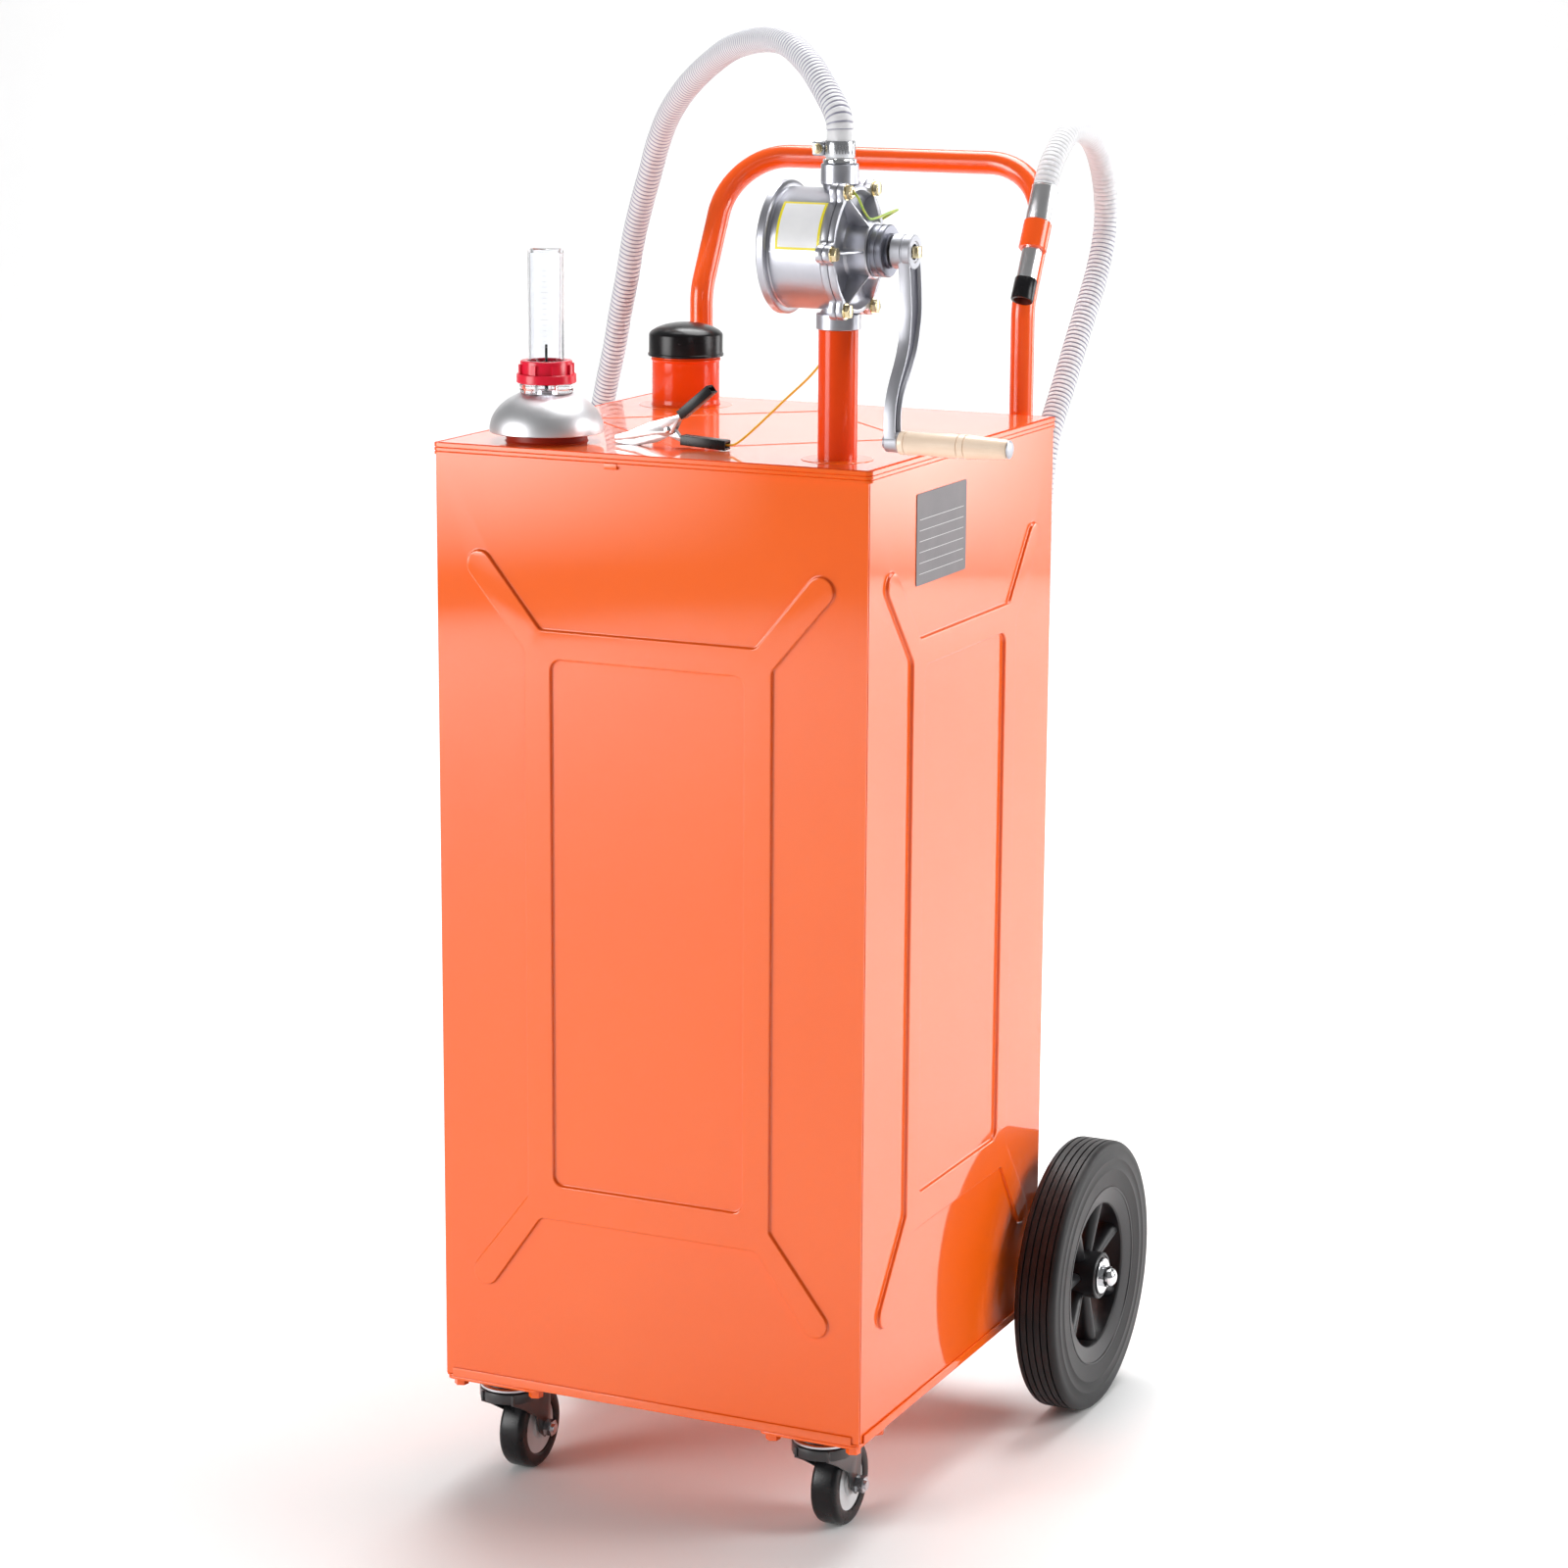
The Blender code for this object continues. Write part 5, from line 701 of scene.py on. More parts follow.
def tankTop():
    shape = bmesh.new()
    halfX, halfY = tank["side"] + rim["thick"], tank["rear"] + rim["thick"]
    face = polygon(shape, [(-halfX, -halfY), (halfX, -halfY), (halfX, halfY), (-halfX, halfY)],
                   rim["low"])
    roundCorners(shape, list(face.verts), rim["corner"], 6)
    shape.faces.ensure_lookup_table()
    edges = list(shape.faces[0].edges)
    tall = tank["height"] + tank["rimAbove"] - rim["edge"] - rim["low"]
    done = 0.0
    for share in rim["grooves"]:
        for step, out in ((share - rim["grooveHalf"], 0), (share, -rim["groove"]),
                          (share + rim["grooveHalf"], rim["groove"])):
            edges = pullUp(shape, edges, (step - done) * tall, out)
            done = step
    edges = pullUp(shape, edges, (1 - done) * tall)
    lid = bmesh.ops.contextual_create(shape, geom=edges)["faces"]
    for inset, rise in ((rim["edge"], rim["edge"]), (rim["land"], 0),
                        (rim["slope"], -rim["slope"])):
        around = bmesh.ops.inset_region(shape, faces=lid, thickness=inset, depth=rise,
                                        use_even_offset=True)["faces"]
        # the rim's inset steps take the darker bead paint: painted shade along them
        for face in around:
            face.material_index = 3
    for face in lid:
        face.material_index = 1
    for ring in (filler, riser):
        top = tank["height"] + ring["ringHigh"]
        part = bmesh.new()
        edge = ring["ring"]
        lathe(part, [(0.0, top), (edge - 0.0012, top), (edge - 0.0004, top - 0.0004),
                     (edge, tank["height"] - 0.0005)], 96)
        joinPart(shape, part, (ring["x"], ring["y"], 0))
    part = bmesh.new()
    lathe(part, mm((30, 819.5), (30, 828), (32.8, 828), (33.7, 827.4), (34, 826.5), (34, 822.2),
                   (35.5, 820.2), (35.8, 819.5)), 96)
    # the gauge's base ring is painted dark red: painted shadow and reflection under the dome
    for face in part.faces:
        face.material_index = 2
    joinPart(shape, part, (gauge["x"], gauge["y"], 0))
    corners = [Vector((bead["left"], 0, 0)), Vector((0, bead["rear"], 0)),
               Vector((bead["right"], 0, 0)), Vector((0, bead["front"], 0))]
    ridge = curveMesh("bead", corners, bead["radius"], cyclic=True, roundness=3)
    ridge.transform(Matrix.Translation((0, 0, tank["height"]))
                    @ Matrix.Diagonal((1, 1, bead["high"] / bead["radius"], 1)))
    # the bead takes the darker paint too: painted shade along it
    for face in ridge.polygons:
        face.material_index = 3
    shape.from_mesh(ridge)
    tab = block(shape, (rim["tabLow"], -halfY - rim["tabOut"], rim["low"] - rim["tabDrop"]),
                (rim["tabHigh"], -halfY + rim["thick"] / 2, rim["low"] + rim["tabRise"]))
    bevelEdges(shape, edgesOf(tab), 0.0005)
    evenNormals(finishPiece("topPlate", shape, "orangePaint platePaint basePaint beadPaint",
                            replaced=["tank_top"]))


tankTop()


# A CAD piece whose shape is right is copied, joined up and given rounded edges
def softCopy(name, node, material, body, width):
    shape = bmesh.new()
    shape.from_mesh(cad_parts[node].data)
    bmesh.ops.remove_doubles(shape, verts=shape.verts, dist=0.00001)
    bmesh.ops.dissolve_limit(shape, angle_limit=math.radians(1), verts=shape.verts,
                             edges=shape.edges)
    bmesh.ops.translate(shape, verts=shape.verts, vec=-tankAt)
    finishPiece(name, shape, material, body, [node], edge=width)


softCopy("bottomPlate", "tank_bottom", "orangePaint", "tank", 0.0005)
print("tank top and bottom made")


# Filler neck and its cap
neck = {"radius": 0.03025, "bore": 0.0280, "low": 0.818, "high": 0.8820, "bead": 0.8620,
        "beadOut": 0.0010, "foot": 0.8262}
cap = {"low": 0.8650, "lipHigh": 0.8672, "lip": 0.0340, "radius": 0.0332, "shoulder": 0.8840,
       "high": 0.8950}
fillerAt = (filler["x"], filler["y"], 0)


def fillerNeck():
    r, out, at, foot = neck["radius"], neck["beadOut"], neck["bead"], neck["foot"]
    profile = [(neck["bore"], neck["low"]), (r + 0.0016, neck["low"]), (r + 0.0012, 0.8212),
               (r + 0.0004, 0.8222), (r, 0.8236), (r, foot - 0.0010), (r - 0.0003, foot),
               (r, foot + 0.0010), (r, at - 0.0018)]
    profile += [(r + out * math.sin(math.pi * step / 6), at - 0.0018 + 0.0036 * step / 6)
                for step in range(1, 7)]
    profile += [(r, neck["high"] - 0.0005), (r - 0.0005, neck["high"]),
                (neck["bore"], neck["high"])]
    # the neck takes the darker copy of the orange: painted shade
    turned("fillerNeck", "pillarShadePaint", profile, 96, True, replaced=["filler_neck"], at=fillerAt)


def fillerCap():
    rise = cap["high"] - cap["shoulder"]
    dome = [(cap["radius"] * math.sin(quarterTurn * step / 12),
             cap["shoulder"] + rise * math.cos(quarterTurn * step / 12) ** 1.25)
            for step in range(13)]
    inside = neck["radius"] + 0.0014
    profile = dome + [(cap["radius"], cap["lipHigh"] + 0.0006), (cap["lip"], cap["lipHigh"]),
                      (cap["lip"], cap["low"] + 0.0004), (cap["lip"] - 0.0004, cap["low"]),
                      (inside, cap["low"]), (inside, cap["shoulder"]), (0, cap["shoulder"])]
    turned("fillerCap", "capPlastic", profile, 96, body="cap", replaced=["filler_cap"],
           at=fillerAt)


fillerNeck()
fillerCap()


# Float gauge: chrome dome, clear neck, red ring nut and clear sight tube
dial = {"rim": 0.0480, "rimHigh": 0.8300, "high": 0.861, "top": 0.0215, "wall": 0.0020,
        "bore": 0.0063, "nutLowHigh": 0.877, "nutHigh": 0.0217, "nutTop": 0.888,
        "tubeTop": 0.0150, "lugs": 8}
gaugeAt = (gauge["x"], gauge["y"], 0)


def gaugePieces():
    start, wall = math.asin(dial["top"] / dial["rim"]), dial["wall"]
    rise = (dial["high"] - dial["rimHigh"]) / math.cos(start)
    turns = [start + (quarterTurn - start) * step / 16 for step in range(17)]
    outer = [(dial["rim"] * math.sin(turn), dial["rimHigh"] + rise * math.cos(turn))
             for turn in turns]
    inner = [((dial["rim"] - wall) * math.sin(turn),
              dial["rimHigh"] + (rise - wall) * math.cos(turn)) for turn in reversed(turns)]
    foot = [(dial["rim"], 0.8289), (dial["rim"] - 0.0006, 0.8284), (gauge["baseIn"], 0.8284)]
    dome = [(dial["bore"], dial["high"])] + outer + foot + inner + [
        (dial["bore"], dial["high"] - wall)]
    turned("gaugeDome", "satinChrome", dome, 96, True, replaced=["gauge_dome"], at=gaugeAt)

    turned("gaugeNeck", "clearPlastic", mm(
        (8.2, 869), (21.8, 869), (22.3, 868.5), (22.3, 865.8), (21.5, 865.3), (21.5, 864.5),
        (22.3, 864), (22.3, 861.8), (21.8, 861.3), (8.2, 861.3)), closed=True,
           replaced=["gauge_neck"], at=gaugeAt)

    shape = bmesh.new()
    lathe(shape, mm((16.3, 888), (20.7, 888), (21.4, 887.7), (21.7, 887), (21.7, 877), (24.4, 877),
                    (25, 876.4), (25, 869.9), (24.4, 869.3), (19.8, 869.3), (19.8, 872.8),
                    (16.3, 872.8)), closed=True)
    for number in range(dial["lugs"]):
        turn = Matrix.Rotation(fullTurn * number / dial["lugs"], 4, "Z")
        block(shape, (dial["nutHigh"] - 0.0012, -0.0022, dial["nutLowHigh"] - 0.0004),
              (dial["nutHigh"] + 0.0020, 0.0022, dial["nutTop"] - 0.0030), turn)
    finishPiece("gaugeRingNut", shape, "redPlastic", replaced=["gauge_ring_nut"], at=gaugeAt)

    turned("gaugeSightTube", "clearPlastic", mm(
        (0, 981), (12, 981), (12.927, 980.8532), (13.7634, 980.4271), (14.427, 979.7634),
        (14.8532, 978.9271), (15, 978), (15, 888.3), (16, 888), (16, 872.5), (19.5, 872.5),
        (19.5, 869.3), (14.2, 869.3), (13.2, 888), (13.2, 977.2), (11.2, 979.2), (0, 979.2)),
           replaced=["gauge_sight_tube"], at=gaugeAt)


def gaugeNeedle():  # thin needle on a slim rod, lifted by the float
    low, high = (Vector(corner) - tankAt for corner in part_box("gauge_indicator_rod"))
    turned("gaugeNeedle", "capPlastic", mm(
        (0, 901), (0.8, 901), (1.1, 900.2), (1.1, 881), (1.5, 879), (1.5, 428.0675),
        (0, 428.0675)), 24, body="indicator", replaced=["gauge_indicator_rod"],
           at=((low.x + high.x) / 2, (low.y + high.y) / 2, 0))


def gaugeScale():  # faint printed scale on the sight tube
    scale = {"low": 0.900, "step": 0.0045, "lines": 15, "short": 0.0016, "long": 0.0030,
             "thin": 0.00022, "turn": -1.16}
    shape = bmesh.new()
    r = dial["tubeTop"]
    for number in range(scale["lines"]):
        half = scale["short"] if number % 5 else scale["long"]
        high = scale["low"] + scale["step"] * number
        block(shape, (r - 0.0004, -half, high), (r + 0.00005, half, high + scale["thin"]),
              Matrix.Rotation(scale["turn"], 4, "Z"))
    finishPiece("gaugeScale", shape, "plateLine", at=gaugeAt, slotName="clear_plastic")


gaugePieces()
gaugeNeedle()
gaugeScale()
print("filler and gauge made")


# Riser pipe
riserAt = (riser["x"], riser["y"], 0)
# the riser takes the darker copy of the orange: painted shade
turned("riserPipe", "pillarShadePaint", mm((12, 803), (16, 803), (16, 820.5), (16, 925.6), (15.7, 926),
                                      (14.2, 926), (14.2, 934), (12, 934)), closed=True,
       replaced=["pump_riser"], at=riserAt)


# Pump: body, six-eared flange, star-ribbed cover, bolts, gland and shaft
pump = {"y": -0.148, "z": 0.9903, "body": 0.0485, "flangeLow": 0.151, "joint": 0.157,
        "coverHigh": 0.163, "flange": 0.0508, "earAt": 0.0543, "ear": 0.0072, "ears": 6,
        "blend": 0.0045, "outline": 240, "boltAcross": 0.0050, "boltHigh": 0.168,
        "boss": 0.0230, "floor": 0.1585, "ring": 0.0475,
        "ribHalf": 0.0013, "ribIn": 0.0215, "ribInHigh": 0.1772, "ribOutHigh": 0.1645,
        "ribEdge": 0.0005, "flangeEdge": 0.0008, "washer": 0.0064, "washerThick": 0.0009,
        "boltTurn": 0.9, "wireEar": 2}
pumpAt = (0, pump["y"], pump["z"])


def earRadius(turn):  # the flange's edge: a circle that swells smoothly round each ear
    step = fullTurn / pump["ears"]
    off = abs((turn + step / 2) % step - step / 2)
    across = pump["earAt"] * math.sin(off)
    inside = pump["ear"] ** 2 - across ** 2
    swell = pump["earAt"] * math.cos(off) + (math.sqrt(inside) if inside > 0
                                             else (pump["ear"] - across) * 2)
    gapNow = abs(swell - pump["flange"])
    meet = max(pump["blend"] - gapNow, 0) / pump["blend"]
    return max(swell, pump["flange"]) + meet * meet * pump["blend"] / 4


def earedPlate(shape, low, high):
    points = []
    for number in range(pump["outline"]):
        turn = fullTurn * number / pump["outline"]
        points.append((earRadius(turn) * math.cos(turn), earRadius(turn) * math.sin(turn)))
    thicken(shape, [polygon(shape, points, low)], high - low)
    soften(shape, pump["flangeEdge"], 2, 60)


# Pump pieces are drawn lying, with their ears counted from +Y, and stood up along X
pumpTurn = Matrix(((0, 0, 1, 0), (1, 0, 0, 0), (0, 1, 0, 0), (0, 0, 0, 1)))


def standPump(name, shape, materials, **rest):
    finishPiece(name, shape, materials, at=pumpAt, turn=pumpTurn, **rest)


def pumpBody():
    shape = bmesh.new()
    earedPlate(shape, pump["flangeLow"], pump["joint"])
    lathe(shape, mm((0, 95.5), (52.3, 95.5), (53.5, 96.7), (53.5, 101.8), (52.7, 102.6),
                    (50.7, 103.4), (48.7, 103.6), (47.9, 104.6), (48.5, 105.8), (48.5, 148.8),
                    (49.1, 150.2), (50.3, 151.2)), 128)
    for side in (-1, 1):  # the parting line of the casting
        ridge = side * (pump["body"] - 0.0002)
        block(shape, (ridge - 0.0005, -0.0004, 0.1052), (ridge + 0.0005, 0.0004, 0.1505))
    spigots = bmesh.new()
    lathe(spigots, mm((14.5, 926.3), (17.6, 926.3), (18, 926.7), (18, 938.2), (17.4, 939),
                      (15, 939.4), (13.5, 942), (13.5, 955)))
    lathe(spigots, mm((11.5, 1030), (13, 1038.5), (13.6, 1041), (14.6, 1041.8), (15.2, 1042.4),
                      (15.2, 1057.2), (14.6, 1058), (9, 1058)))
    bmesh.ops.recalc_face_normals(spigots, faces=spigots.faces)
    back = (Matrix.Translation(pumpAt) @ pumpTurn).inverted()
    bmesh.ops.transform(spigots, matrix=back @ Matrix.Translation((riser["x"], riser["y"], 0)),
                        verts=spigots.verts)
    joinPart(shape, spigots)
    standPump("pumpBody", shape, "castMetal", replaced=["pump_body"], smooth=32)


def pumpCover():
    shape = bmesh.new()
    # the outer ring carries the ears; its inside is dished down to the pocket floor
    earedPlate(shape, pump["joint"] + tank["gap"], pump["coverHigh"])
    bmesh.ops.delete(shape, geom=[one for one in shape.faces
                                  if len(one.verts) > 100 and one.calc_center_median().z
                                  > pump["joint"] + 0.004], context="FACES_ONLY")
    rimEdges = [edge for edge in shape.edges if edge.is_boundary]
    circle = bmesh.ops.create_circle(
        shape, cap_ends=False, segments=pump["outline"], radius=pump["ring"],
        matrix=Matrix.Translation((0, 0, pump["coverHigh"])))["verts"]
    ringEdges = edgesOf(circle)
    bmesh.ops.bridge_loops(shape, edges=rimEdges + ringEdges)
    for reach, height in ((pump["ring"] - 0.0008, pump["coverHigh"] - 0.0006),
                          (pump["ring"] - 0.0030, pump["floor"] + 0.0012),
                          (pump["ring"] - 0.0050, pump["floor"] + 0.0003),
                          (pump["boss"] + 0.0040, pump["floor"] - 0.0002),
                          (pump["boss"] + 0.0016, pump["floor"] + 0.0006),
                          (pump["boss"] + 0.0003, pump["floor"] + 0.0030)):
        grown = bmesh.ops.extrude_edge_only(shape, edges=ringEdges)["geom"]
        verts, ringEdges = only(BMVert, grown), only(BMEdge, grown)
        now = verts[0].co.xy.length
        bmesh.ops.scale(shape, verts=verts, vec=(reach / now, reach / now, 1))
        bmesh.ops.translate(shape, verts=verts, vec=(0, 0, height - verts[0].co.z))
    lathe(shape, mm((23.3, 161.5), (23, 165), (23, 176.8), (22.2, 178), (7.5, 178)), 96)
    half, thin, foot = pump["ribHalf"], pump["ribHalf"] * 0.7, pump["floor"] - 0.001
    for number in range(pump["ears"]):
        turn = Matrix.Rotation(fullTurn * number / pump["ears"], 4, "Z")
        rib = block(shape, (pump["ribIn"], -half, foot), (pump["ring"] + 0.0002, half, 0.1800))
        for vert in rib:
            if vert.co.z > foot + 0.001:
                inner = vert.co.x < pump["ribIn"] + 0.001
                vert.co.z = pump["ribInHigh"] if inner else pump["ribOutHigh"]
                vert.co.y = math.copysign(thin, vert.co.y)
        made = bevelEdges(shape, edgesOf(rib), pump["ribEdge"])["faces"]
        bmesh.ops.transform(shape, matrix=turn,
                            verts=list({vert for one in made for vert in one.verts}))
    standPump("pumpCover", shape, "castMetal", replaced=["pump_cover"], smooth=32)


def coverBolts():
    shape = bmesh.new()
    for number in range(pump["ears"]):
        turn = fullTurn * number / pump["ears"]
        place = Matrix.Rotation(turn, 4, "Z") @ Matrix.Translation((pump["earAt"], 0, 0))
        place = place @ Matrix.Rotation(number * pump["boltTurn"], 4, "Z")
        bar(shape, pump["washer"], pump["coverHigh"], pump["coverHigh"] + pump["washerThick"],
            32, place)
        head = bar(shape, pump["boltAcross"] * hexagon, pump["coverHigh"] + 0.0008,
                   pump["boltHigh"] - 0.0003, 6, place)
        tops = [face for face in {face for vert in head for face in vert.link_faces}
                if abs(face.normal.z) > 0.9
                and face.calc_center_median().z > pump["coverHigh"] + 0.003]
        bmesh.ops.inset_region(shape, faces=tops, thickness=0.0008, depth=0.0003)
    standPump("coverBolts", shape, "goldPlate", slotName="brass", smooth=25)


def groundEyelet():  # ring terminal of the grounding wire under a bolt's washer
    shape = bmesh.new()
    lathe(shape, mm((2.2, 168.1), (4.4, 168.1), (4.4, 168.9), (2.2, 168.9)), 32, closed=True)
    turn = fullTurn * pump["wireEar"] / pump["ears"]
    bmesh.ops.translate(shape, verts=shape.verts, vec=(
        pump["earAt"] * math.cos(turn), pump["earAt"] * math.sin(turn), 0))
    standPump("groundEyelet", shape, "goldPlate", edge=0.0002, slotName="brass")


def glandNut():
    turned("glandNut", "shadeMetal", mm(
        (7.5, 192), (13.4, 192), (14, 191.4), (14, 190), (20.2, 190), (21, 189.2), (21, 186.2),
        (20.2, 185.6), (20.2, 184.6), (21, 184), (21, 180.8), (20.3, 180), (20.3, 179),
        (21, 178.3), (7.5, 178.3)), 96, True, replaced=["gland_nut"], at=pumpAt, turn=pumpTurn)


def pumpSticker():  # blank white sticker with a yellow border, wrapped on the body
    sticker = {"low": 0.1105, "high": 0.1490, "from": 128.0, "to": 178.0, "border": 0.0022,
               "steps": 20, "out": 0.0001}
    shape = bmesh.new()
    radius = pump["body"] + sticker["out"]
    start = math.radians(sticker["from"])
    sweep = math.radians(sticker["to"]) - start
    cuts = [sticker["low"], sticker["low"] + sticker["border"],
            sticker["high"] - sticker["border"], sticker["high"]]
    points = [shape.verts.new((radius * math.cos(start), radius * math.sin(start), height))
              for height in cuts]
    edges = [shape.edges.new(pair) for pair in zip(points, points[1:])]
    bmesh.ops.spin(shape, geom=points + edges, cent=(0, 0, 0), axis=(0, 0, 1), dvec=(0, 0, 0),
                   angle=sweep, steps=sticker["steps"], use_duplicate=False)
    for face in shape.faces:
        middle = face.calc_center_median()
        at = math.atan2(middle.y, middle.x)
        inside = cuts[1] < middle.z < cuts[2] and start + 0.06 < at < start + sweep - 0.06
        face.material_index = 0 if inside else 1
    bmesh.ops.recalc_face_normals(shape, faces=shape.faces)
    if sum(face.normal.dot(Vector((*face.calc_center_median().xy, 0)))
           for face in shape.faces) < 0:
        bmesh.ops.reverse_faces(shape, faces=shape.faces)
    bmesh.ops.solidify(shape, geom=shape.faces[:], thickness=-0.00008)
    standPump("pumpSticker", shape, "stickerWhite stickerYellow", slotName="cast_metal")


pumpBody()
pumpCover()
coverBolts()
groundEyelet()
glandNut()
pumpSticker()
print("pump made")


# Crank: hub on the square shaft end, curved arm with a channel, wooden grip
crank = {"armLow": 0.2005, "armHigh": 0.2105, "lean": 0.0052, "square": 0.0045, "lip": 0.0017,
         "deep": 0.0030, "shaft": (0.0070, 0.178, 0.1935), "squareLow": 0.193,
         "squareHigh": 0.2155,
         "line": ((0, 0, 0.0118), (0.0020, -0.0160, 0.0118), (0.0028, -0.0300, 0.0117),
                  (0.0028, -0.0465, 0.0112), (0.0003, -0.0585, 0.0104),
                  (-0.0036, -0.0703, 0.0094), (-0.0080, -0.0785, 0.0086),
                  (-0.0168, -0.0906, 0.0074), (-0.0305, -0.1067, 0.0064),
                  (-0.0378, -0.1215, 0.0065), (-0.0397, -0.1355, 0.0068),
                  (-0.0390, -0.1473, 0.0070))}
eyeAt = (0, pump["y"] - 0.039, pump["z"] - 0.1473)
lyingX = Matrix.Rotation(quarterTurn, 4, "Y")
grip = {"low": 0.2172, "high": 0.3095, "root": 0.0095, "waist": 0.0090, "belly": 0.0096,
        "end": 0.0080, "grooves": (0.2680, 0.2740), "groove": 0.0007}


def crankArm():
    shape = bmesh.new()
    line = evenRoute(crank["line"], 41)[0]
    left, right = [], []
    for number, place in enumerate(line):
        run = line[min(number + 1, len(line) - 1)] - line[max(number - 1, 0)]
        across = Vector((run.y, -run.x)).normalized() * place.z
        left.append(place.xy + across)
        right.append(place.xy - across)
    face = polygon(shape, left + right[::-1], crank["armLow"])
    faces = thicken(shape, [face], crank["armHigh"] - crank["armLow"])
    for side in faces + [face]:
        bmesh.ops.inset_region(shape, faces=[side], thickness=crank["lip"], use_even_offset=True)
        bmesh.ops.inset_region(shape, faces=[side], thickness=0.0006, depth=-crank["deep"],
                               use_even_offset=True)
        # the channel floor takes the near black metal: painted shade in the recess
        side.material_index = 1
    soften(shape, 0.0006, 2, 40)
    for vert in shape.verts:  # the arm leans outward toward the grip
        vert.co.z += crank["lean"] * vert.co.y / crank["line"][-1][1]
    lathe(shape, mm((5.2, 194), (13, 194), (13.8, 194.8), (13.8, 202.8), (13.2, 203.4),
                    (13.2, 204.4), (13.8, 205), (13.8, 210.7), (13, 211.5), (8.8, 211.5),
                    (8, 210.5), (6.4, 210.5)))
    eye = bmesh.new()
    lathe(eye, mm((3.4, 200.2), (7.2, 200.2), (8, 201), (8, 210.9), (7.4, 211.5), (3.4, 211.5)),
          48, closed=True)
    joinPart(shape, eye, (eyeAt[1] - pump["y"], eyeAt[2] - pump["z"], crank["lean"]))
    standPump("crankArm", shape, "crankMetal channelMetal", body="crank", replaced=["crank_arm"])


def rotorShaft():
    shape = bmesh.new()
    bar(shape, *crank["shaft"])
    half = crank["square"]
    block(shape, (-half, -half, crank["squareLow"]), (half, half, crank["squareHigh"]))
    standPump("pumpShaft", shape, "goldPlate", body="crank", replaced=["pump_rotor"], edge=0.0005)


def crankGrip():
    root, waist, belly, end = (grip[key] for key in ("root", "waist", "belly", "end"))
    low, high, groove = grip["low"], grip["high"], grip["groove"]
    profile = [(0.0034, low), (root - 0.0012, low), (root - 0.0003, low + 0.0005),
               (root, low + 0.0015), (root, low + 0.0050), (root - groove, low + 0.0056),
               (root, low + 0.0062), (root - 0.0001, low + 0.0085), (waist, low + 0.0180),
               (waist + 0.0002, low + 0.030), (belly, low + 0.042),
               (belly, grip["grooves"][0] - 0.0008)]
    for place in grip["grooves"]:
        profile += [(belly, place - 0.0007), (belly - groove, place), (belly, place + 0.0007)]
    profile += [(belly - 0.0001, grip["grooves"][1] + 0.006), (waist - 0.0002, 0.2900),
                (end, 0.3040), (end - 0.0002, 0.3075), (end - 0.0008, 0.3090),
                (end - 0.0018, high), (0.0034, high)]
    turned("crankGrip", "beechWood", profile, 64, True, body="grip", replaced=["crank_grip"],
           at=eyeAt, turn=lyingX)
    turned("gripBolt", "crankMetal", mm(
        (0, 203.2), (5, 203.2), (5.6, 203.8), (5.6, 205.1), (3, 205.1), (3, 309.8), (7.3, 309.8),
        (7.3, 310.5), (6.7, 311), (4.38, 311.6), (0, 311.8)), 48, body="crank",
           replaced=["grip_bolt"], at=eyeAt, turn=lyingX)


crankArm()
rotorShaft()
crankGrip()
print("crank made")


# Outlet: lip, barb inside the hose, and the worm clamp
clamp = {"low": 1.063, "high": 1.076, "inner": 0.0114, "thick": 0.0008, "houseLow": -0.022,
         "houseHigh": -0.0112, "houseHalf": 0.0065, "houseEdge": 0.0018, "slots": 26,
         "around": 32, "firstSlot": 3, "slotHalf": 0.0004, "slotInset": 0.003,
         "screw": (0.0036, 0.0060, 0.0104), "screwWasher": (0.0042, 0.0058, 0.0072)}


def outletPieces():
    turned("outletBarb", "chromePlate", mm(
        (5, 1078), (6.6, 1078), (7.4, 1072.8), (6.8, 1072.4), (6.6, 1070.5), (7.4, 1065.3),
        (6.8, 1064.9), (6.8, 1061.6), (12.8, 1061.6), (13.5, 1060.9), (13.5, 1059),
        (12.9, 1058.4), (8.6, 1058.4), (8.6, 1046), (5, 1046)), 64, True,
           replaced=["outlet_barb"], at=riserAt)

    shape = bmesh.new()
    r, low, high = clamp["inner"] + clamp["thick"], clamp["low"], clamp["high"]
    lathe(shape, mm((11.4, 1063), (12, 1063), (12.2, 1063.3), (12.2, 1075.7), (12, 1076),
                    (11.4, 1076)), closed=True)
    half, inset = clamp["slotHalf"], clamp["slotInset"]
    for number in range(clamp["slots"]):  # the slots of the worm band, pressed proud
        turn = fullTurn * (number + clamp["firstSlot"]) / clamp["around"]
        block(shape, (-r - 0.00015, -half, low + inset), (-r + 0.0004, half, high - inset),
              Matrix.Rotation(turn, 4, "Z"))
    house = block(shape, (clamp["houseLow"], -clamp["houseHalf"], low + 0.0008),
                  (-clamp["inner"] - 0.0003, clamp["houseHalf"], high - 0.0008))
    bevelEdges(shape, edgesOf(house), clamp["houseEdge"], 4)
    finishPiece("wormClamp", shape, "machinedMetal", replaced=["outlet_clamp"], at=riserAt)

    shape = bmesh.new()
    houseAt = ((clamp["houseLow"] + clamp["houseHigh"]) / 2, 0, (low + high) / 2)
    place = Matrix.Translation(houseAt) @ Matrix.Rotation(quarterTurn, 4, "X")
    bar(shape, *clamp["screw"], 6, place)
    bar(shape, *clamp["screwWasher"], 32, place)
    finishPiece("clampScrew", shape, "goldPlate", at=riserAt, edge=0.0003, slotName="brass")


outletPieces()
print("outlet made")


# Push handle: one bent tube on four feet
handle = {"radius": 0.0105, "x": 0.1585, "y": 0.222, "low": 0.560, "kink": 0.915,
          "top": 1.0355, "lean": math.radians(28.0), "kinkRadius": 0.045, "cornerRadius": 0.060,
          "feet": (0.600, 0.765), "footHalf": 0.012, "footWide": 0.014, "footThick": 0.003,
          "footEdge": 0.0008}


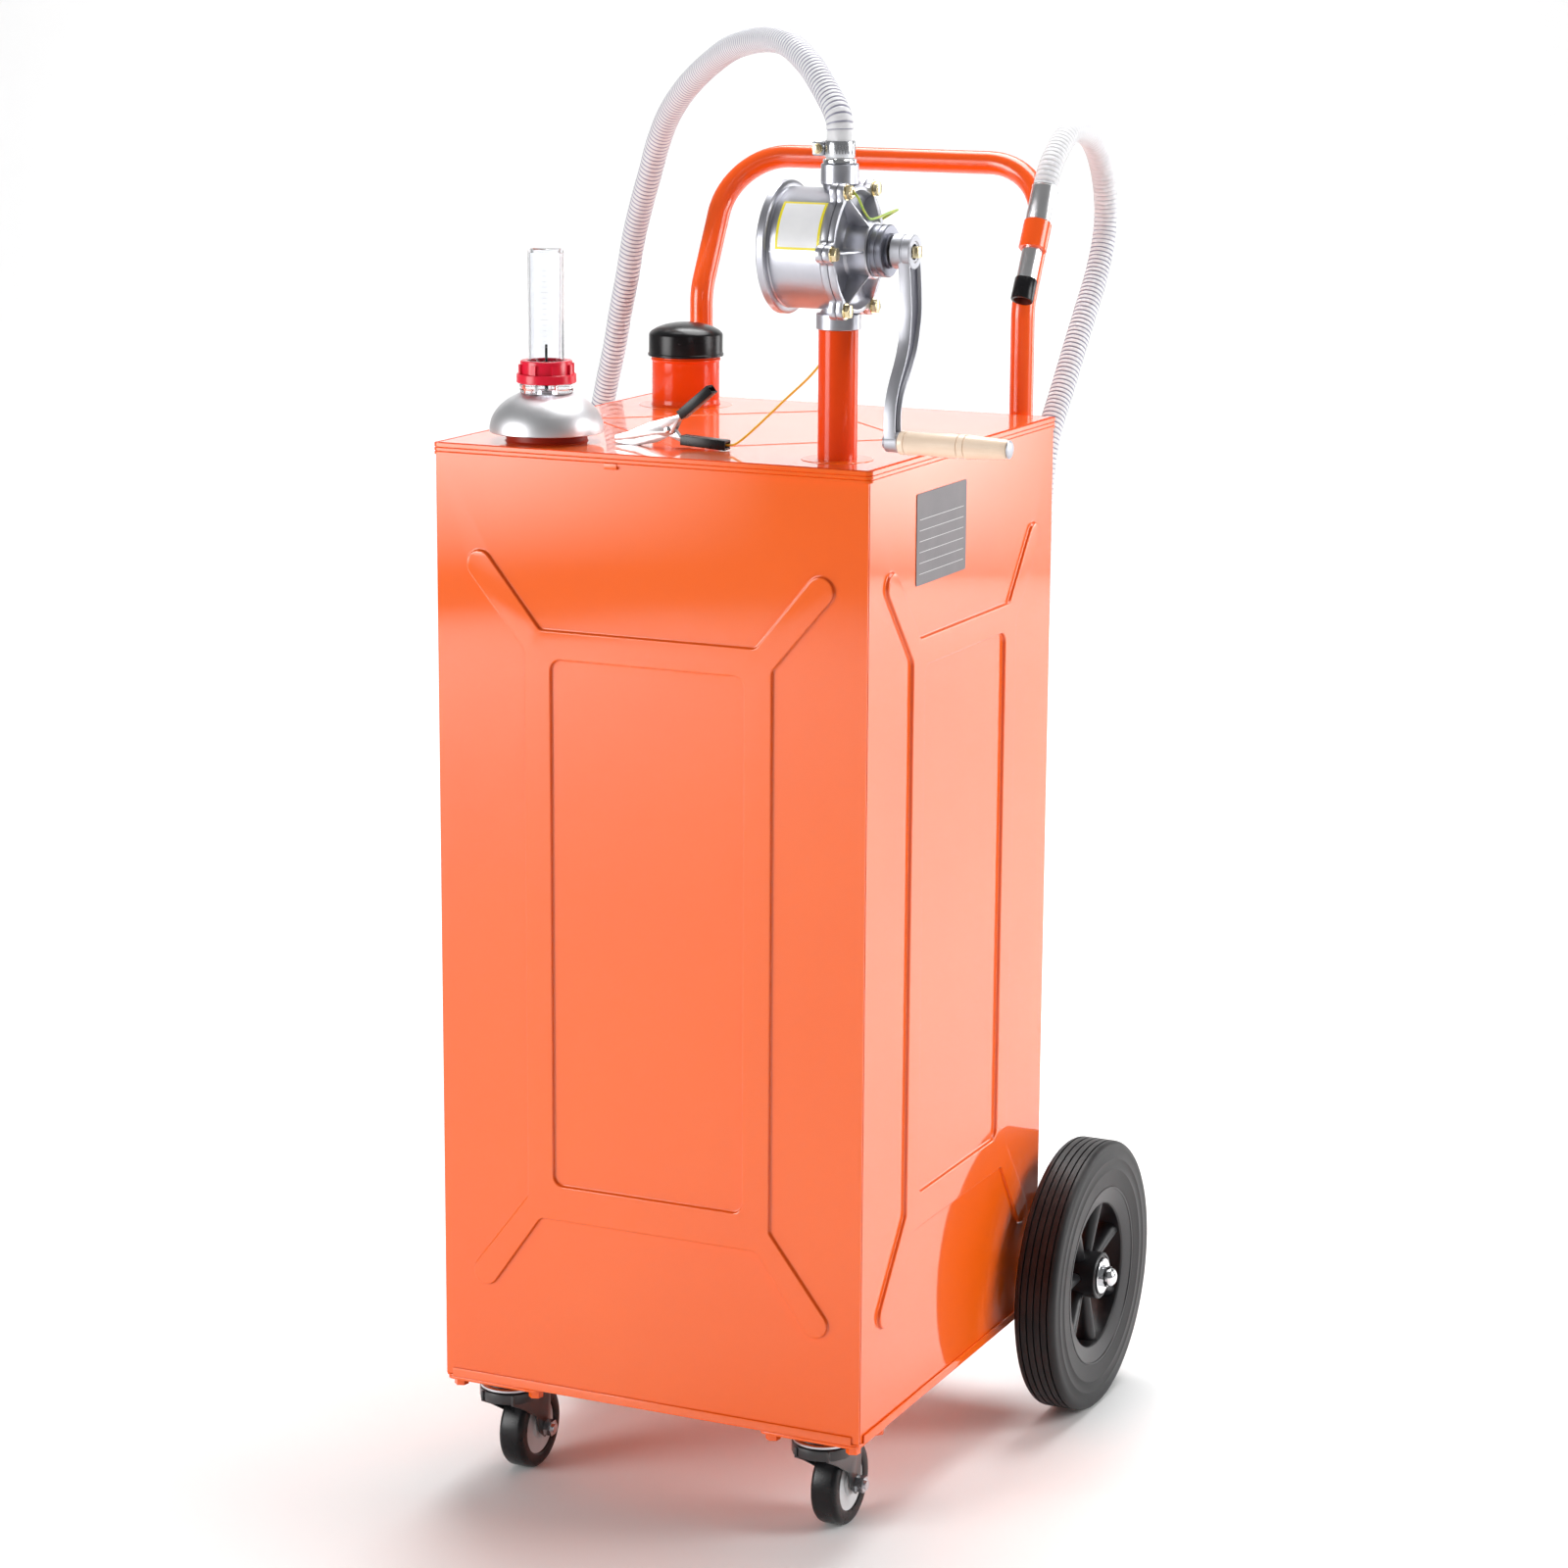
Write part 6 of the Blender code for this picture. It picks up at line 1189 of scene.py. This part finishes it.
def bentLine(corners, radii, steps=16):
    corners = [Vector(corner) for corner in corners]
    line = [corners[0]]
    for back, here, ahead, radius in zip(corners, corners[1:], corners[2:], radii):
        into, out = (back - here).normalized(), (ahead - here).normalized()
        half = into.angle(out) / 2
        centre = here + (into + out).normalized() * radius / math.sin(half)
        first = here + into * radius / math.tan(half) - centre
        last = here + out * radius / math.tan(half) - centre
        axis = first.cross(last)
        line += [centre + Matrix.Rotation(first.angle(last) * step / steps, 3, axis) @ first
                 for step in range(steps + 1)]
    return line + [corners[-1]]


def pushHandle():
    topY = handle["y"] + (handle["top"] - handle["kink"]) * math.tan(handle["lean"])
    x, y = handle["x"], handle["y"]
    line = bentLine([(-x, y, handle["low"]), (-x, y, handle["kink"]), (-x, topY, handle["top"]),
                     (x, topY, handle["top"]), (x, y, handle["kink"]), (x, y, handle["low"])],
                    [handle["kinkRadius"], handle["cornerRadius"], handle["cornerRadius"],
                     handle["kinkRadius"]])
    shape = bmesh.new()
    shape.from_mesh(curveMesh("handle", line, handle["radius"], roundness=14))
    half, wide = handle["footHalf"], handle["footWide"] + handle["footThick"]
    wall = tank["rear"] + tank["gap"]
    for side in (-1, 1):
        for high in handle["feet"]:
            foot = block(shape, (side * x - half / 2, wall, high - half),
                         (side * x + half / 2, y, high + half))
            plate = block(shape, (side * x - wide, wall, high - wide),
                          (side * x + wide, wall + handle["footThick"], high + wide))
            bevelEdges(shape, edgesOf(foot + plate), handle["footEdge"])
    finishPiece("pushHandle", shape, "tubePaint", replaced=["push_handle"])


pushHandle()
print("handle made")


# Nozzle in its holder ring on the handle's right leg, and the steel cuff above it
nozzle = {"x": 0.1665, "y": 0.228, "z": 0.976, "lean": math.radians(28.6), "bore": 0.0075,
          "tongue": ((-0.0125, 0.0095, -0.0060), (-0.0035, 0.0155, 0.0060))}
inNozzle = {"at": (nozzle["x"], nozzle["y"], nozzle["z"]),
            "turn": Matrix.Rotation(-nozzle["lean"], 4, "X")}


def nozzlePieces():
    pipe = turned("nozzlePipe", "nozzleSteel", mm(
        (6, -54.5), (9, -54.5), (9, 13.2), (8.6, 13.6), (6.8, 13.6), (6.8, 22), (7.2, 22.4),
        (6.6, 30), (7.2, 30.4), (6.5, 42), (6, 42)), 64, True, replaced=["nozzle_pipe"],
                  **inNozzle)
    shape = bmesh.new()
    lathe(shape, mm((7.5, -62), (9.3, -62), (9.9, -61.4), (10, -60.6), (10, -42.3), (9.5, -41.5),
                    (9.2, -41.5), (9.2, -54.8), (7.5, -54.8)), 64, closed=True)
    for face in shape.faces:
        face.material_index = int(face.calc_center_median().xy.length < nozzle["bore"] + 0.0002)
    tip = finishPiece("nozzleTip", shape, "capPlastic mouthRubber", replaced=["nozzle_tip"],
                      **inNozzle)
    cuff = turned("nozzleCuff", "nozzleSteel", mm(
        (11.1, 13.8), (11.5, 13.8), (11.7, 14.1), (11.7, 45.8), (12, 46.2), (12, 47), (11.1, 47)),
                  closed=True, slotName="bright_steel", **inNozzle)
    shape = bmesh.new()
    lathe(shape, mm((9.3, -13), (11.9, -13), (12.5, -12.4), (12.5, 12.4), (11.9, 13), (9.3, 13)),
          closed=True)
    block(shape, *nozzle["tongue"])
    finishPiece("nozzleHolder", shape, "tubePaint", replaced=["nozzle_holder"], **inNozzle)
    return [pipe, tip, cuff]


nozzleParts = nozzlePieces()
print("nozzle made")


# Rear wheels: grooved tyres, spoked rims, washers and acorn nuts
wheel = {"y": 0.222, "z": 0.0265, "radius": 0.125, "low": 0.2155, "high": 0.2555,
         "rim": 0.0825, "rimIn": 0.0665, "shoulder": 0.006, "hub": 0.0215, "spokes": 7,
         "spokeRoot": 0.0060, "spokeEnd": 0.0110, "phase": math.radians(17.0),
         "grooves": 5, "grooveWide": 0.0016, "grooveDeep": 0.0022,
         "sideRings": (0.0984, 0.1087), "spokeFlat": 0.72, "nut": (0.0098, 0.2564, 0.2622)}


def tyreProfile():
    r, low, high, shoulder = wheel["radius"], wheel["low"], wheel["high"], wheel["shoulder"]
    half, deep = wheel["grooveWide"] / 2, wheel["grooveDeep"]
    middle = (low + high) / 2
    flat = (high - low) / 2 - shoulder
    crown = []
    for number in range(wheel["grooves"]):
        place = middle + flat * 0.92 * (1 - 2 * number / (wheel["grooves"] - 1))
        crown += [(r, place + half), (r - deep, place + half * 0.8),
                  (r - deep, place - half * 0.8), (r, place - half)]
    arc = [(r - shoulder + shoulder * math.sin(quarterTurn * step / 5),
            high - shoulder + shoulder * math.cos(quarterTurn * step / 5)) for step in range(6)]
    sideWall = []
    for ring in wheel["sideRings"]:
        sideWall += [(ring - 0.0012, high - 0.0003), (ring - 0.0006, high), (ring + 0.0006, high),
                     (ring + 0.0012, high - 0.0003)]
    upper = [(wheel["rim"] + 0.0003, high - 0.0014), (wheel["rim"] + 0.0030, high - 0.0005)]
    upper += sideWall + [(r - shoulder - 0.002, high - 0.0003)] + arc[1:]
    lower = [(radius, low + high - place) for radius, place in reversed(upper)]
    return upper + crown + lower


def rearWheels():
    middle = (wheel["low"] + wheel["high"]) / 2
    start, end = wheel["hub"] - 0.003, wheel["rimIn"] + 0.003
    for name, side in (("left", -1), ("right", 1)):
        flip = Matrix.Rotation(side * quarterTurn, 4, "Y")
        inWheel = {"at": (0, wheel["y"], wheel["z"]), "turn": flip}
        turned("rearTyre_" + name, "tyreRubber", tyreProfile(), 160, True, body="wheel_" + name,
               replaced=["rear_tyre_" + name], smooth=30, **inWheel)

        shape = bmesh.new()
        lathe(shape, mm((66.5, 217.5), (67.5, 216.5), (82.5, 216.5), (82.5, 254.5), (81.3, 254.5),
                        (80.5, 253.5), (70.5, 251.1), (67.5, 249.9), (66.5, 248.5)),
              128, closed=True)
        lathe(shape, mm((8.3, 213.8), (20.5, 213.8), (21.5, 214.8), (21.5, 253.7), (20.5, 254.7),
                        (18.9, 254.7), (18.3, 253.8), (17.2, 253.8), (16.8, 254.7),
                        (8.3, 254.7)), 96, closed=True)
        for number in range(wheel["spokes"]):
            turn = Matrix.Rotation(
                -side * (wheel["phase"] + fullTurn * number / wheel["spokes"]), 4, "Z")
            lean = turn @ Matrix.Translation((0, 0, middle)) @ Matrix.Rotation(
                -side * quarterTurn, 4, "Y")
            verts = bar(shape, wheel["spokeRoot"], start, end, 20, lean, wheel["spokeEnd"])
            flat = turn @ Matrix.Diagonal((1, wheel["spokeFlat"], 1, 1)) @ turn.inverted()
            bmesh.ops.transform(shape, matrix=flat, verts=verts)
        finishPiece("rearRim_" + name, shape, "wheelPlastic", "wheel_" + name,
                    ["rear_rim_" + name], smooth=30, **inWheel)

        shape = bmesh.new()
        lathe(shape, mm((6.8, 255), (16, 255), (16.5, 255.4), (16.5, 256.1), (16, 256.5),
                        (8.8, 256.5)), 64)
        lathe(shape, mm((8.8, 256.4), (8.8, 262.5), (8.6309, 263.7681), (8.1301, 264.9874),
                        (7.3169, 266.1112), (6.2225, 267.0962), (4.889, 267.9045),
                        (3.3676, 268.5052), (1.7168, 268.8751), (0, 269)), 48)
        bar(shape, *wheel["nut"], 6)
        soften(shape, 0.0003, 2, 50)
        finishPiece("acornNut_" + name, shape, "chromePlate", replaced=["axle_nut_" + name],
                    smooth=28, **inWheel)


rearWheels()
softCopy("axleBracket", "axle_bracket", "orangePaint", "tank", 0.0006)
print("rear wheels made")


# Swivel casters
caster = {"x": 0.151, "y": -0.172, "plateX": 0.046, "plateY": 0.032, "boltX": 0.037,
          "boltFront": -0.021, "boltRear": 0.029, "trail": 0.035, "axle": -0.061,
          "plateLow": -0.0028, "plateHigh": -0.0003, "plateCorner": 0.006,
          "washer": (0.0076, -0.0040, -0.0027), "bolt": (0.0055 * hexagon, -0.0098, -0.0038),
          "axleNut": (0.0065 * hexagon, 0.0163, 0.0240)}


def casterPieces(name, side):
    at = (side * caster["x"], caster["y"], 0)
    shape = bmesh.new()
    plate = block(shape, (-caster["plateX"], -caster["plateY"], caster["plateLow"]),
                  (caster["plateX"], caster["plateY"], caster["plateHigh"]))
    upright = [edge for edge in edgesOf(plate)
               if abs((edge.verts[0].co - edge.verts[1].co).normalized().z) > 0.9]
    bevelEdges(shape, upright, caster["plateCorner"], 6)
    soften(shape, 0.0004, 2, 60)
    for alongX in (-1, 1):
        for placeY in (caster["boltFront"], caster["boltRear"]):
            place = Matrix.Translation((alongX * caster["boltX"], placeY, 0))
            bar(shape, *caster["washer"], 32, place)
            bar(shape, *caster["bolt"], 6, place @ Matrix.Rotation(placeY * 9, 4, "Z"))
    finishPiece("casterPlate_" + name, shape, "orangePaint", replaced=["caster_plate_" + name],
                at=at, smooth=30)

    # swivel race: black neck over a silver ring
    turned("casterNeck_" + name, "blackPaint", mm(
        (6, -2.6), (20, -2.6), (20.5, -5), (22.5, -7.2), (22.5, -8), (6, -8)), 64, True, at=at,
           slotName="black_metal")
    shape = bmesh.new()
    lathe(shape, mm((6, -8), (24.5, -8), (26, -9), (26, -10.8), (24.8, -11.7), (6, -11.7)),
          closed=True)
    lathe(shape, mm((0, -24.2), (7, -24.2), (9.5, -23.2), (10, -21.8), (6, -21.8), (6, -11.8)), 48)
    finishPiece("casterRace_" + name, shape, "machinedMetal", at=at, slotName="bright_steel")


def casterIron(name):
    softCopy("casterFork_" + name, "caster_fork_" + name, "blackPaint", "fork_" + name, 0.0004)
    softCopy("brakeLever_" + name, "brake_lever_" + name, "blackPaint", "brake_" + name, 0.0004)


def bothSides(*upper):  # a profile and its mirror image below, in millimetres
    return mm(*upper, *[(radius, -height) for radius, height in reversed(upper)])


def casterWheel(name, side):
    inWheel = {"at": (side * caster["x"], caster["y"] + caster["trail"], caster["axle"]),
               "turn": lyingX, "smooth": 30}
    turned("casterTyre_" + name, "softRubber", bothSides(
        (24.5, 10), (25.5, 11.4), (27, 12), (32.5, 12), (33.7941, 11.8296), (35, 11.3301),
        (36.0355, 10.5355), (36.8301, 9.5), (37.3296, 8.2941), (37.5, 7)), 96, True,
           body="roller_" + name, replaced=["caster_wheel_" + name], **inWheel)
    turned("casterHub_" + name, "greyHub", bothSides(
        (4.6, 12), (10.5, 12), (11, 11.2), (11.5, 9.8), (22.5, 9.4), (24.6, 10.1)), closed=True,
           body="roller_" + name, slotName="black_rubber", **inWheel)
    shape = bmesh.new()
    lathe(shape, mm((0, -20), (6.6, -20), (7, -19.6), (7, -16.3), (4, -16.3), (4, 26), (3.4, 26),
                    (0, 26)), 40)
    bar(shape, *caster["axleNut"], 6)
    finishPiece("casterAxle_" + name, shape, "machinedMetal", "fork_" + name,
                ["caster_axle_" + name], **inWheel)


casterPieces("left", -1)
casterPieces("right", 1)
casterIron("left")
casterIron("right")
casterWheel("left", -1)
casterWheel("right", 1)
print("casters made")


# Grounding clip: pressed steel jaws, black sleeves
for node, name, body, material in (
        ("clip_lower_jaw", "clipLowerJaw", "tank", "clipSteel"),
        ("clip_upper_jaw", "clipUpperJaw", "clip_jaw", "clipSteel"),
        ("clip_lower_grip", "clipLowerSleeve", "tank", "softRubber"),
        ("clip_upper_grip", "clipUpperSleeve", "clip_jaw", "softRubber"),
        ("clip_pivot", "clipRivet", "tank", "chromePlate")):
    softCopy(name, node, material, body, 0.0004)
print("clip made")


# Grey plate on the right side, blank but for ruled lines
def sidePlate():
    plate = {"front": -0.106, "rear": 0.0, "low": 0.714, "high": 0.790, "corner": 0.002,
             "thick": 0.0005, "margin": 0.006, "line": 0.0005,
             "lines": (0.768, 0.759, 0.750, 0.741, 0.732, 0.723)}
    shape = bmesh.new()
    face = polygon(shape, [(plate["front"], plate["low"]), (plate["rear"], plate["low"]),
                           (plate["rear"], plate["high"]), (plate["front"], plate["high"])])
    roundCorners(shape, list(face.verts), plate["corner"], 5)
    shape.faces.ensure_lookup_table()
    thicken(shape, [shape.faces[0]], plate["thick"])
    plain = len(shape.faces)
    for high in plate["lines"]:
        block(shape, (plate["front"] + plate["margin"], high, plate["thick"] - 0.0002),
              (plate["rear"] - plate["margin"], high + plate["line"], plate["thick"] + 0.0001))
    shape.faces.ensure_lookup_table()
    for face in shape.faces[plain:]:
        face.material_index = 1
    turn = Matrix(((0, 0, 1, tank["side"] + 0.0001), (1, 0, 0, 0), (0, 1, 0, 0), (0, 0, 0, 1)))
    finishPiece("sidePlate", shape, "plateGrey plateLine", turn=turn, slotName="orange_paint")


sidePlate()


# The CAD nodes that stay get their finish in place
stayed = {
    "cap_gasket": "softRubber", "gauge_stem": "satinChrome", "gauge_float_arm": "goldPlate",
    "gauge_float": "capPlastic", "suction_tube": "machinedMetal", "pump_vane_1": "goldPlate",
    "pump_vane_2": "goldPlate", "rear_axle": "machinedMetal"}
for node, material in stayed.items():
    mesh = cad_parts[node].data
    mesh.materials.clear()
    mesh.materials.append(finish[material])
print("kept nodes finished")


# Studio: one pale sweep of paper and soft boxes
studio = {"front": -9.0, "back": 6.0, "half": 14.0, "bend": 3.0, "wall": 5.0, "steps": 24}


def addSweep():
    shape = bmesh.new()
    ends = [shape.verts.new((side * studio["half"], studio["front"], 0)) for side in (-1, 1)]
    grown = bmesh.ops.extrude_edge_only(shape, edges=[shape.edges.new(ends)])["geom"]
    verts = only(BMVert, grown)
    bmesh.ops.translate(shape, verts=verts, vec=(0, studio["back"] - studio["front"], 0))
    last = bmesh.ops.spin(shape, geom=verts + only(BMEdge, grown),
                          cent=(0, studio["back"], studio["bend"]), axis=(1, 0, 0),
                          dvec=(0, 0, 0), angle=quarterTurn, steps=studio["steps"],
                          use_duplicate=False)["geom_last"]
    pullUp(shape, only(BMEdge, last), studio["wall"])
    bmesh.ops.rotate(shape, cent=(0, 0, 0), verts=shape.verts,
                     matrix=Matrix.Rotation(view["yaw"], 3, "Z"))
    mesh = bpy.data.meshes.new("paperSweep")
    shape.to_mesh(mesh)
    shape.free()
    sweep = bpy.data.objects.new("paperSweep", mesh)
    bpy.context.scene.collection.objects.link(sweep)
    mesh.materials.append(finish["sweepPaper"])
    mesh.shade_smooth()


def makeBoxFade():  # a soft box glows most in its middle
    group, start, end = startGroup("boxFade", [("Glow", "NodeSocketFloat", 2.0)],
                                   [("Strength", "NodeSocketFloat")])
    split = group.nodes.new("ShaderNodeSeparateXYZ")
    feed(group, split.inputs[0], group.nodes.new("ShaderNodeNewGeometry").outputs["Parametric"])
    strength = start.outputs["Glow"]
    for axis in ("X", "Y"):
        place = split.outputs[axis]
        hump = mathNode(group, "MULTIPLY", place, mathNode(group, "SUBTRACT", 1.0, place))
        strength = mathNode(group, "MULTIPLY", strength, rangeNode(group, hump, 0.0, 0.16))
    feed(group, end.inputs["Strength"], strength)
    return group


boxFade = makeBoxFade()


def addSoftBox(name, place, target, sizeX, sizeY, power):
    light = bpy.data.lights.new(name, "AREA")
    light.shape = "RECTANGLE"
    light.size = sizeX
    light.size_y = sizeY
    light.energy = power
    light.use_nodes = True
    tree = light.node_tree
    fade = tree.nodes.new("ShaderNodeGroup")
    fade.node_tree = boxFade
    tree.links.new(fade.outputs["Strength"], tree.nodes["Emission"].inputs["Strength"])
    lamp = bpy.data.objects.new(name, light)
    lamp.location = place
    aim = Vector(target) - Vector(place)
    lamp.rotation_euler = aim.to_track_quat("-Z", "Y").to_euler()
    bpy.context.scene.collection.objects.link(lamp)


addSweep()
addSoftBox("frontBox", (-2.9, -3.6, 1.35), (0, 0, 0.5), 2.8, 2.6, 105)
addSoftBox("rightBox", (3.4, 1.0, 1.8), (0, 0, 0.7), 1.8, 2.8, 65)
addSoftBox("backBox", (2.6, 4.2, 1.0), (0.2, 0, 0.7), 1.8, 2.0, 26)
addSoftBox("topBox", (0.0, 1.0, 3.8), (0, 0, 0.6), 3.0, 2.0, 80)
addSoftBox("wallBox", (-1.5, 3.6, 6.0), (-2.6, 6.4, 1.0), 5.0, 2.0, 270)

world = bpy.data.worlds.new("studio")
bpy.context.scene.world = world
world.use_nodes = True
world.node_tree.nodes["Background"].inputs["Color"].default_value = (1, 1, 1, 1)
world.node_tree.nodes["Background"].inputs["Strength"].default_value = 0.22
bpy.context.scene.view_settings.view_transform = "Standard"
